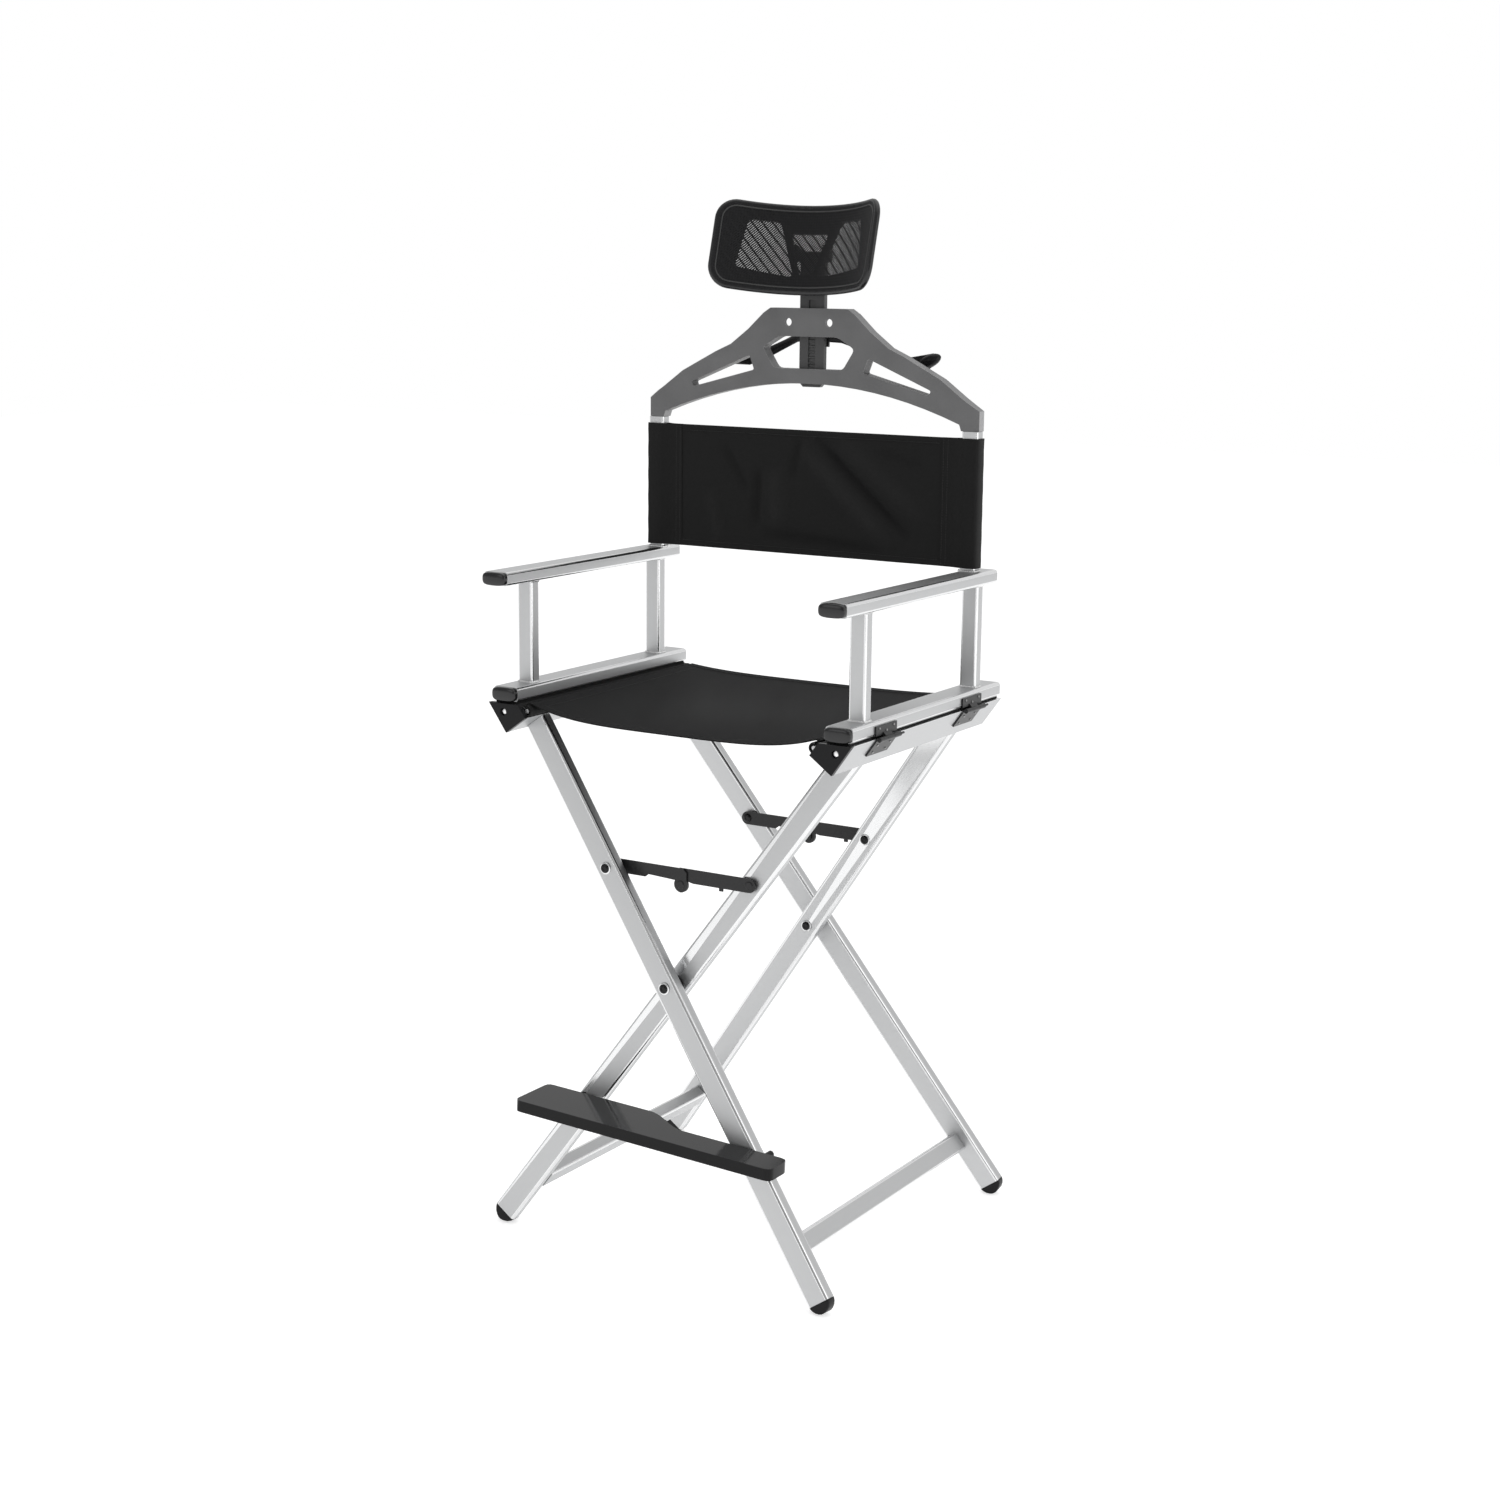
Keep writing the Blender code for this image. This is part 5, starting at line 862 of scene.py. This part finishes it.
def back_surface(across, along):
    forward = back_folds(across, along)
    to_edge = back_length / 2 - abs(along)
    forward += HEM_FOLD * (1.0 - smooth(BACK_HEM - HEM_STEP, BACK_HEM, to_edge))
    return Vector((across, back_y - forward, (back_low.z + back_high.z) / 2 + along))


hem_at = back_length / 2 - BACK_HEM
back_panel = cloth_sheet("back_panel", back_width, back_length, 120, 52, back_surface,
                         (-hem_at, -hem_at + HEM_STEP, hem_at - HEM_STEP, hem_at), back_fold_shade)
thicken(back_panel, CLOTH_THICK, back_canvas)
back_lift = CLOTH_THICK / 2 + STITCH_RADIUS * 0.5
sewn_half = back_width / 2 - BACK_ROW
hem_row = hem_at + BACK_ROW
back_stitches = stitch_rows("back_stitches", [
    surface_row(back_surface, (-sewn_half, side * hem_row), (sewn_half, side * hem_row), back_lift)
    for side in (-1, 1)])
for piece in (back_panel, back_stitches):
    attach(piece, "left_arm")
    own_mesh(piece)
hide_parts("back_sling")

# %% [markdown]
# ## Sleeves on the back posts
# A sleeve is one strip of canvas that goes round the post and is sewn to itself in a flap, with the panel's edge in
# between. Its line in plan is drawn with a few corner points, softened by cutting corners, and the strip follows it.

# %% Sleeves
sleeve_low, sleeve_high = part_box("right_back_sleeve")
post_low, post_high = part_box("right_back_post")
post_x = (post_low.x + post_high.x) / 2
post_y = (post_low.y + post_high.y) / 2
SLEEVE_THICK = 0.0015
skin_x = sleeve_high.x - post_x - SLEEVE_THICK / 2
skin_y = (sleeve_high.y - sleeve_low.y) / 2 - SLEEVE_THICK / 2
flap_end = sleeve_low.x - post_x
flap_y = back_y - post_y
FLAP_LAYER = 0.0011
FLAP_ROWS = (0.0030, 0.0095)
PUCKER, PUCKER_WAVES, PUCKER_FADE = 0.00035, 190.0, 0.02
CORNER = 0.0045
sleeve_path = rolled_path([Vector(p) for p in (
    (flap_end, flap_y - FLAP_LAYER), (-skin_x - 0.012, flap_y - FLAP_LAYER - 0.0004),
    (-skin_x + 0.001, -skin_y + 0.0016),
    (-skin_x + CORNER + 0.003, -skin_y), (skin_x - CORNER, -skin_y), (skin_x, -skin_y + CORNER * 0.3),
    (skin_x, skin_y - CORNER * 0.3), (skin_x - CORNER, skin_y), (-skin_x + CORNER + 0.003, skin_y),
    (-skin_x + 0.001, skin_y - 0.004), (-skin_x - 0.012, flap_y + FLAP_LAYER + 0.0008),
    (flap_end, flap_y + FLAP_LAYER))], 3)
sleeve_round = path_length(sleeve_path)
sleeve_length = sleeve_high.z - sleeve_low.z

for hand, side in (("left", -1), ("right", 1)):

    def sleeve_surface(across, along, side=side):
        spot = path_at(sleeve_path, across * -side + sleeve_round / 2)
        calm = smooth(0.0, PUCKER_FADE, sleeve_round / 2 - abs(across))
        pucker = PUCKER * math.sin(along * PUCKER_WAVES + side) * calm
        return Vector((side * (post_x + spot.x), post_y + spot.y - pucker,
                       (sleeve_low.z + sleeve_high.z) / 2 + along))

    sleeve = cloth_sheet(hand + "_sleeve", sleeve_round, sleeve_length, 88, 20, sleeve_surface)
    thicken(sleeve, SLEEVE_THICK, back_canvas)
    flap_row = side * (post_x + flap_end)
    face_y = back_y - FLAP_LAYER - SLEEVE_THICK / 2 - STITCH_RADIUS * 0.4
    rows = []
    for inset in FLAP_ROWS:
        for y, facing in ((face_y, -1.0), (2 * back_y - face_y, 1.0)):
            rows.append([(Vector((flap_row + side * inset, y, z)), Vector((0.0, facing, 0.0)))
                         for z in (sleeve_low.z + BACK_ROW, sleeve_high.z - BACK_ROW)])
    sleeve_stitches = stitch_rows(hand + "_sleeve_stitches", rows)
    for piece in (sleeve, sleeve_stitches):
        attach(piece, hand + "_arm")
    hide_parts(hand + "_back_sleeve")
print("sleeve", round(sleeve_round, 4), "m round,", round(sleeve_length, 4), "m long")

# %% [markdown]
# ## Headrest netting
# The headrest is a moulded frame with three windows, covered by a dense knitted netting whose cords run on the slant.
# Such a net can be a transparent pattern, but real openings also hold up from close by and from the side. A flat grid
# of long narrow cells is turned by the slant and cut to the outline, every whole cell is inset on its own and the
# inset face deleted, which leaves a slit, and the net is wrapped on the headrest's curve and given its thickness.

# %% Netting
HEAD_CURVE = 0.180
HEAD_LEAN = math.radians(15.0)
HEAD_AT = Vector((0.0, 0.14677, 1.338))
HEAD_HALF_ARC, HEAD_HALF_HEIGHT, HEAD_CORNER = 0.136, 0.060, 0.028
NET_PITCH = 0.0028
NET_SLIT = 0.0110
NET_OPEN = 0.00036
NET_THICK = 0.00014
NET_AHEAD = 0.0012
NET_SLANT = math.radians(-45.0)
NET_INSET = 0.0015
OUTLINE_STEP = 0.012
WHOLE_SHARE = 0.98


def head_place(along_arc, behind, up):
    """Point on the curved headrest: along its arc, back from the frame's front face, and up its lean."""
    angle = along_arc / HEAD_CURVE
    back = (HEAD_CURVE + behind) * math.cos(angle) - HEAD_CURVE
    return HEAD_AT + Vector(((HEAD_CURVE + behind) * math.sin(angle),
                             back * math.cos(HEAD_LEAN) + up * math.sin(HEAD_LEAN),
                             up * math.cos(HEAD_LEAN) - back * math.sin(HEAD_LEAN)))


def rounded_outline(half_x, half_y, radius, steps):
    """Flat points of a rectangle with rounded corners."""
    points = []
    for sign_x, sign_y, start in ((1, 1, 0.0), (-1, 1, 90.0), (-1, -1, 180.0), (1, -1, 270.0)):
        for k in range(steps + 1):
            angle = math.radians(start + 90.0 * k / steps)
            points.append((sign_x * (half_x - radius) + radius * math.cos(angle),
                           sign_y * (half_y - radius) + radius * math.sin(angle)))
    return points


def head_outline(inset):
    """The headrest's outline, drawn in by an inset, with points along its straight sides too."""
    points = rounded_outline(HEAD_HALF_ARC - inset, HEAD_HALF_HEIGHT - inset, HEAD_CORNER - inset, 10)
    filled = []
    for a, b in zip(points, points[1:] + points[:1]):
        pieces = max(1, round(math.dist(a, b) / OUTLINE_STEP))
        filled += [(a[0] + (b[0] - a[0]) * k / pieces, a[1] + (b[1] - a[1]) * k / pieces) for k in range(pieces)]
    return filled


net_reach = 2.0 * math.hypot(HEAD_HALF_ARC, HEAD_HALF_HEIGHT)
net_rows = round(net_reach / NET_PITCH)
net_cell = net_reach / net_rows
bpy.ops.object.select_all(action="DESELECT")
bpy.ops.mesh.primitive_grid_add(x_subdivisions=round(net_reach / NET_SLIT), y_subdivisions=net_rows,
                                size=net_reach)
netting = bpy.context.object
netting.name = "headrest_netting"
bpy.ops.object.mode_set(mode="EDIT")
bpy.ops.mesh.select_all(action="SELECT")
bpy.ops.transform.rotate(value=NET_SLANT, orient_axis="Z", center_override=(0.0, 0.0, 0.0))
trim = head_outline(NET_INSET)
for a, b in zip(trim, trim[1:] + trim[:1]):
    bpy.ops.mesh.select_all(action="SELECT")
    outward = Vector((b[1] - a[1], a[0] - b[0], 0.0)).normalized()
    bpy.ops.mesh.bisect(plane_co=(a[0], a[1], 0.0), plane_no=outward, clear_outer=True, threshold=0.000001)
bpy.ops.mesh.select_mode(type="FACE")
shape = bmesh.from_edit_mesh(netting.data)
whole = max(face.calc_area() for face in shape.faces)
for face in shape.faces:
    face.select = face.calc_area() > WHOLE_SHARE * whole
bmesh.update_edit_mesh(netting.data)
bpy.ops.mesh.inset(thickness=(net_cell - NET_OPEN) / 2, use_individual=True)
bpy.ops.mesh.delete(type="FACE")
bpy.ops.object.mode_set(mode="OBJECT")
flat_map = netting.data.uv_layers.active
flat_map.name = "cloth"
for loop in netting.data.loops:
    flat = netting.data.vertices[loop.vertex_index].co
    flat_map.data[loop.index].uv = ((flat.x - flat.y) * math.sqrt(0.5), (flat.x + flat.y) * math.sqrt(0.5))
for vertex in netting.data.vertices:
    vertex.co = head_place(vertex.co.x, -NET_AHEAD, vertex.co.y)
net_look = canvas_finish("black_netting", (0.016, 0.016, 0.017), 1.0 / net_cell, 0.10)
thicken(netting, NET_THICK, net_look)
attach(netting, "headrest")
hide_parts("headrest_mesh")
print("netting", len(netting.data.polygons), "faces")

# %% [markdown]
# ## Rim of the headrest
# The net is pulled over the frame's edge and held by a rounded moulded rim, with a thin welt sewn just inside it. Both
# are tubes along the same rounded outline: a curve with a bevel draws a tube, and is made a mesh before it rides.

# %% Rim and welt
RIM_RADIUS, RIM_INSET, RIM_BEHIND = 0.0042, 0.0022, 0.0028
WELT_RADIUS, WELT_INSET, WELT_BEHIND = 0.0011, 0.0075, -0.0010


def closed_tube(name, points, radius, resolution, swell=None):
    """Mesh tube along a closed line of points, thicker or thinner at each point if swell says so."""
    path_data = bpy.data.curves.new(name, "CURVE")
    path_data.dimensions = "3D"
    path_data.bevel_depth = radius
    path_data.bevel_resolution = resolution
    line = path_data.splines.new("POLY")
    line.points.add(len(points) - 1)
    line.use_cyclic_u = True
    for k, (point, at) in enumerate(zip(line.points, points)):
        point.co = (*at, 1.0)
        if swell:
            point.radius = swell(k)
    activate(new_object(name, path_data))
    bpy.ops.object.convert(target="MESH")
    bpy.ops.object.shade_smooth()
    return bpy.context.object


def tube_on_head(name, inset, behind, radius, look, body):
    """Closed tube along the headrest's outline."""
    tube = closed_tube(name, [head_place(across, behind, up) for across, up in head_outline(inset)], radius, 4)
    dress(tube, look)
    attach(tube, body)
    return tube


rim_look = grained_finish("glossy_rim", (0.012, 0.012, 0.013), 0.0, 0.28, 1600.0, 0.15, 0.08, 0.06)
welt_look = grained_finish("sewn_welt", (0.05, 0.05, 0.05), 0.0, 0.5, 2400.0, 0.3, 0.1, 0.3)
head_rim = tube_on_head("headrest_rim", RIM_INSET, RIM_BEHIND, RIM_RADIUS, rim_look, "headrest")
head_welt = tube_on_head("headrest_welt", WELT_INSET, WELT_BEHIND, WELT_RADIUS, welt_look, "headrest")
print("rim", len(head_rim.data.polygons), "faces, welt", len(head_welt.data.polygons), "faces")

# %% [markdown]
# ## Fasteners
# Button-head bolts hold the crossings and the braces: a low black dome with a six-sided socket, in a thin ring
# where the bare edge of the hole shows, given a paler finish than the tube as a painted highlight. The dome is modelled
# once, facing the front: a disc is extruded in steps that narrow, its crown is inset, and the inset ring is drawn to
# six sides and pushed in. Copies are turned to place.

# %% Button head and its ring
FRONT = Vector((0.0, -1.0, 0.0))
DOME_STEPS = ((0.24, 0.93), (0.16, 0.84), (0.10, 0.72))  # share of the height, narrowing
SOCKET_RIM, SOCKET_DEEP = 0.05, 0.55
HEAD_SMOOTH = math.radians(35.0)


def crown(mesh):
    """Select the face that looks to the front and stands furthest out."""
    best = min(mesh.polygons, key=lambda f: (round(f.center.y, 6), f.normal.y))
    for part in (mesh.vertices, mesh.edges, mesh.polygons):
        part.foreach_set("select", [False] * len(part))
    best.select = True


def take_mesh(obj):
    """The mesh of a modelled shape, without its object."""
    mesh = obj.data
    bpy.data.objects.remove(obj)
    return mesh


def button_head(radius, height, socket):
    head = lying_cylinder(24, radius, height * 0.5, ALONG_Y)
    for out_by, narrow in DOME_STEPS:
        crown(head.data)
        bpy.ops.object.mode_set(mode="EDIT")
        bpy.ops.mesh.extrude_region_move(TRANSFORM_OT_translate={"value": (0.0, -height * out_by, 0.0)})
        bpy.ops.transform.resize(value=(narrow, 1.0, narrow))
        bpy.ops.object.mode_set(mode="OBJECT")
    if socket:
        crown(head.data)
        bpy.ops.object.mode_set(mode="EDIT")
        bpy.ops.mesh.inset(thickness=radius * SOCKET_RIM)
        bpy.ops.object.mode_set(mode="OBJECT")
        for vertex in [v for v in head.data.vertices if v.select]:
            turn_by = math.degrees(math.atan2(vertex.co.z, vertex.co.x)) % 60.0 - 30.0
            reach = socket / math.cos(math.radians(turn_by))
            flat = Vector((vertex.co.x, vertex.co.z)).normalized() * reach
            vertex.co.x, vertex.co.z = flat
        bpy.ops.object.mode_set(mode="EDIT")
        bpy.ops.mesh.extrude_region_move(TRANSFORM_OT_translate={"value": (0.0, height * SOCKET_DEEP, 0.0)})
        bpy.ops.object.mode_set(mode="OBJECT")
    head.data.transform(Matrix.Translation((0.0, -height * 0.25, 0.0)))
    bpy.ops.object.shade_smooth_by_angle(angle=HEAD_SMOOTH)
    return take_mesh(head)


def hole_ring(radius, thick):
    ring = lying_cylinder(32, radius, thick, ALONG_Y)
    bpy.ops.object.mode_set(mode="EDIT")
    bpy.ops.mesh.select_all(action="SELECT")
    bpy.ops.mesh.bevel(offset=thick * 0.4, segments=2, affect="EDGES")
    bpy.ops.object.mode_set(mode="OBJECT")
    bpy.ops.object.shade_smooth_by_angle(angle=HEAD_SMOOTH)
    return take_mesh(ring)


def set_down(name, mesh, at, facing, look, body):
    """Own copy of a small modelled shape, turned from the front to a direction and put at its place."""
    piece = new_object(name, mesh.copy())
    turned = FRONT.rotation_difference(Vector(facing)).to_matrix().to_4x4()
    piece.data.transform(Matrix.Translation(at) @ turned)
    dress(piece, look)
    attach(piece, body)


bolt_mesh = button_head(radius=0.0063, height=0.0036, socket=0.0024)
ring_mesh = hole_ring(radius=0.0082, thick=0.0010)
print("button head", len(bolt_mesh.polygons), "faces")

# %% [markdown]
# ## Bolts at the crossings and braces
# Each head is put where the frame's own bolt has its head: the bolt's box gives the axis and the outer end. The head
# on the inner rear leg belongs to the leg's solid, so it is found as the points that stand out round the bolt's axis.

# %% Bolts
BOLT_HEAD = 0.0030
RING_PROUD = 0.0003
HEAD_POINTS_WITHIN = 0.0064


def bolt_ends(node_name):
    low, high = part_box(node_name)
    return (low.x + high.x) / 2, (low.z + high.z) / 2, low.y, high.y


def front_of(node_name, x, z):
    """Foremost Y of a solid's points within a bolt head's reach of an axis."""
    return min(v.co.y for v in nodes[node_name].data.vertices
               if math.hypot(v.co.x - x, v.co.z - z) < HEAD_POINTS_WITHIN)


bolt_places = []
for node_name in ("front_crossing_bolt", "rear_crossing_bolt", "front_brace_bolt", "rear_brace_bolt"):
    x, z, front_y, rear_y = bolt_ends(node_name)
    bolt_places.append((node_name + "_head", (x, front_y, z), -1.0, body_of_node[node_name]))
    if "crossing" in node_name:
        bolt_places.append((node_name + "_nut", (x, rear_y, z), 1.0, body_of_node[node_name]))
rear_x, rear_z, _, _ = bolt_ends("rear_brace_bolt")
leg_y = front_of("inner_rear_leg", -rear_x, rear_z)
bolt_places.append(("inner_rear_leg_head", (-rear_x, leg_y, rear_z), -1.0, "inner_frame"))
for name, (x, y, z), facing, body in bolt_places:
    base_y = y - facing * BOLT_HEAD
    outward = (0.0, facing, 0.0)
    set_down(name, bolt_mesh, (x, base_y, z), outward, black_bolt, body)
    # The ring takes the paler corner finish: a painted highlight round the head.
    set_down(name + "_ring", ring_mesh, (x, base_y + facing * RING_PROUD, z), outward, painted_highlight_metal, body)
print("bolt heads", len(bolt_places))

# %% [markdown]
# ## Hinge screws and cap rivets
# Small pan-head screws fix the hinge leaves. They are the same dome, smaller and without a socket. A bright rivet sits
# deep in the round hole of each rail cap.

# %% Screws
screw_mesh = button_head(radius=0.0017, height=0.0011, socket=0.0)
rivet_mesh = button_head(radius=0.0046, height=0.0020, socket=0.0)
screw_steel = grained_finish("screw_steel", (0.30, 0.30, 0.30), 1.0, 0.35, 1500.0, 0.2, 0.1, 0.1)
rivet_steel = grained_finish("bright_rivet", (0.86, 0.86, 0.86), 1.0, 0.30, 1500.0, 0.05, 0.05, 0.02)
LOWER_LEAF_OUT = Vector((0.8131, 0.0, -0.5821))
LOWER_LEAF_DOWN = Vector((-0.5821, 0.0, -0.8131))
LOWER_LEAF_TOP = Vector((0.2809, 0.0, 0.7371))
LEAF_OUT_X = 0.27845
LEAF_SCREWS = ((0.16, 0.7506), (0.84, 0.7506), (0.50, 0.7462))  # share of the leaf's length, height
BASE_SCREWS = ((0.20, 0.0105), (0.80, 0.0105), (0.20, 0.0225), (0.80, 0.0225))  # share of its length, way down
CAP_HOLE_X, CAP_HOLE_Z = 0.2555, 0.7269
RIVET_IN = 0.0050
screws = 0
for hand, side, rail_body in (("left", -1, "outer_frame"), ("right", 1, "inner_frame")):
    for place in ("front", "rear"):
        low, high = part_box(f"{hand}_{place}_hinge_leaf")
        run = high.y - low.y
        for share, height in LEAF_SCREWS:
            at = (side * LEAF_OUT_X, low.y + share * run, height)
            set_down(f"{hand}_{place}_leaf_screw_{screws}", screw_mesh, at, (side, 0.0, 0.0), screw_steel,
                     hand + "_arm")
            screws += 1
        for share, down in BASE_SCREWS:
            spot = LOWER_LEAF_TOP + LOWER_LEAF_DOWN * down
            at = (side * spot.x, low.y + share * run, spot.z)
            facing = (side * LOWER_LEAF_OUT.x, 0.0, LOWER_LEAF_OUT.z)
            set_down(f"{hand}_{place}_base_screw_{screws}", screw_mesh, at, facing, screw_steel, rail_body)
            screws += 1

for hand, side, rail_body in (("left", -1, "outer_frame"), ("right", 1, "inner_frame")):
    low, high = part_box(hand + "_rail_cap")
    set_down(hand + "_cap_rivet", rivet_mesh, (side * CAP_HOLE_X, low.y + RIVET_IN, CAP_HOLE_Z), FRONT, rivet_steel,
             rail_body)
print("hinge screws", screws)

# %% [markdown]
# ## Moulded arm caps
# The tubes of the arms end in soft black caps, rounded like a pebble. A box of the cap's size is creased at its edges,
# fully at the tube and a little elsewhere, so that a Subdivision Surface swells it to a pillow. The pillow shrinks as
# it swells, so it is stretched back to fill its box.

# %% Arm caps
CAP_DEPTH = 0.0080
CAP_CREASE = 0.28
CAP_SMOOTH = math.radians(60.0)
cap_rubber = grained_finish("arm_cap_rubber", (0.010, 0.010, 0.011), 0.0, 0.20, 1600.0, 0.15, 0.08, 0.06, 0.55)


def pebble_cap(node_name):
    low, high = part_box(node_name)
    middle = (low + high) / 2
    bpy.ops.object.select_all(action="DESELECT")
    bpy.ops.mesh.primitive_cube_add(size=1.0, location=(middle.x, low.y + CAP_DEPTH / 2, middle.z))
    cap = bpy.context.object
    cap.name = "cap_" + node_name
    cap.scale = (high.x - low.x, CAP_DEPTH, high.z - low.z)
    bpy.ops.object.transform_apply(location=True, rotation=False, scale=True)
    tube_y = low.y + CAP_DEPTH
    bpy.ops.object.mode_set(mode="EDIT")
    bpy.ops.mesh.select_mode(type="EDGE")
    bpy.ops.mesh.select_all(action="DESELECT")
    shape = bmesh.from_edit_mesh(cap.data)
    for edge in shape.edges:
        edge.select = min(v.co.y for v in edge.verts) < tube_y - 0.001
    bmesh.update_edit_mesh(cap.data)
    bpy.ops.transform.edge_crease(value=CAP_CREASE)
    bpy.ops.mesh.select_all(action="INVERT")
    bpy.ops.transform.edge_crease(value=1.0)
    bpy.ops.object.mode_set(mode="OBJECT")
    swell = cap.modifiers.new("pebble", "SUBSURF")
    swell.levels = 4
    bpy.ops.object.modifier_apply(modifier=swell.name)
    corners = [v.co for v in cap.data.vertices]
    now_low = Vector([min(c[k] for c in corners) for k in range(3)])
    now_high = Vector([max(c[k] for c in corners) for k in range(3)])
    for vertex in cap.data.vertices:
        for k, (start, end) in enumerate(((low.x, high.x), (low.y, tube_y), (low.z, high.z))):
            vertex.co[k] = start + (vertex.co[k] - now_low[k]) / (now_high[k] - now_low[k]) * (end - start)
    bpy.ops.object.shade_smooth_by_angle(angle=CAP_SMOOTH)
    cap.data.materials.append(cap_rubber)
    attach(cap, body_of_node[node_name])
    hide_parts(node_name)


for hand in ("left", "right"):
    for which in ("_armrest_cap", "_arm_rail_cap"):
        pebble_cap(hand + which)
print("arm caps", CAP_DEPTH * 1000, "mm deep")

# %% [markdown]
# ## Hanger ends
# The coat hanger's wings end in rounded paddles, so that a shoulder seam isn't marked. A ball is drawn out along the
# wing's last stretch and set over each end.

# %% Hanger ends
PADDLE_HALF = (0.0200, 0.0100, 0.0088)
PADDLE_RISE = math.radians(24.0)
PADDLE_IN, PADDLE_DROP = 0.011, 0.0045
WING_TIP = 0.006
wing_points = [v.co for v in nodes["coat_hanger"].data.vertices]
wing_reach = max(p.x for p in wing_points)
end_points = [p for p in wing_points if p.x > wing_reach - WING_TIP]
wing_end = sum(end_points, Vector()) / len(end_points)
for hand, side in (("left", -1), ("right", 1)):
    bpy.ops.object.select_all(action="DESELECT")
    bpy.ops.mesh.primitive_uv_sphere_add(segments=24, ring_count=12, radius=1.0)
    paddle = bpy.context.object
    paddle.name = hand + "_hanger_end"
    paddle.scale = PADDLE_HALF
    paddle.rotation_euler = (0.0, -side * PADDLE_RISE, 0.0)
    paddle.location = (side * (wing_end.x - PADDLE_IN), wing_end.y, wing_end.z - PADDLE_DROP)
    bpy.ops.object.transform_apply(location=True, rotation=True, scale=True)
    bpy.ops.object.shade_smooth()
    paddle.data.materials.append(FINISH_OF_SLOT[slot_of_node["coat_hanger"]])
    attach(paddle, body_of_node["coat_hanger"])
print("hanger ends at", round(wing_end.x, 4), round(wing_end.z, 4))

# %% [markdown]
# ## Weld beads
# The posts are welded to the tubes, and a bead runs round each joint. One bead is a thin tube along the post's rounded
# outline whose thickness swells and shrinks like laid metal. It is copied to every joint.

# %% Weld beads
POST_SIZE = (0.0240, 0.0176)
POST_CORNER = 0.0030
BEAD_RADIUS = 0.0018
BEAD_STEPS = 84
bead_metal = grained_finish("weld_bead", (0.80, 0.80, 0.80), 1.0, 0.28, 900.0, 0.6, 0.3, 0.9)


def bead_swell(k):
    """Two waves that don't keep step, so the swells aren't alike."""
    return 1.0 + 0.30 * math.sin(k * 1.57) + 0.16 * math.sin(k * 2.9 + 1.0)


post_outline = rounded_outline(POST_SIZE[0] / 2, POST_SIZE[1] / 2, POST_CORNER, 6)
bead_path = [Vector((x, y, 0.0)) for x, y in post_outline + post_outline[:1]]
bead_round = path_length(bead_path)
bead_points = [path_at(bead_path, bead_round * k / BEAD_STEPS) for k in range(BEAD_STEPS)]
bead_mesh = take_mesh(closed_tube("weld_bead", bead_points, BEAD_RADIUS, 1, bead_swell))

beads = 0
for hand in ("left", "right"):
    for post, ends in (("_front_post", (0, 1)), ("_rear_post", (0, 1)), ("_back_post", (0,))):
        low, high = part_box(hand + post)
        for end in ends:
            at = ((low.x + high.x) / 2, (low.y + high.y) / 2, (low.z, high.z)[end])
            set_down(f"{hand}{post}_bead_{end}", bead_mesh, at, FRONT, bead_metal, hand + "_arm")
            beads += 1
print("weld beads", beads)
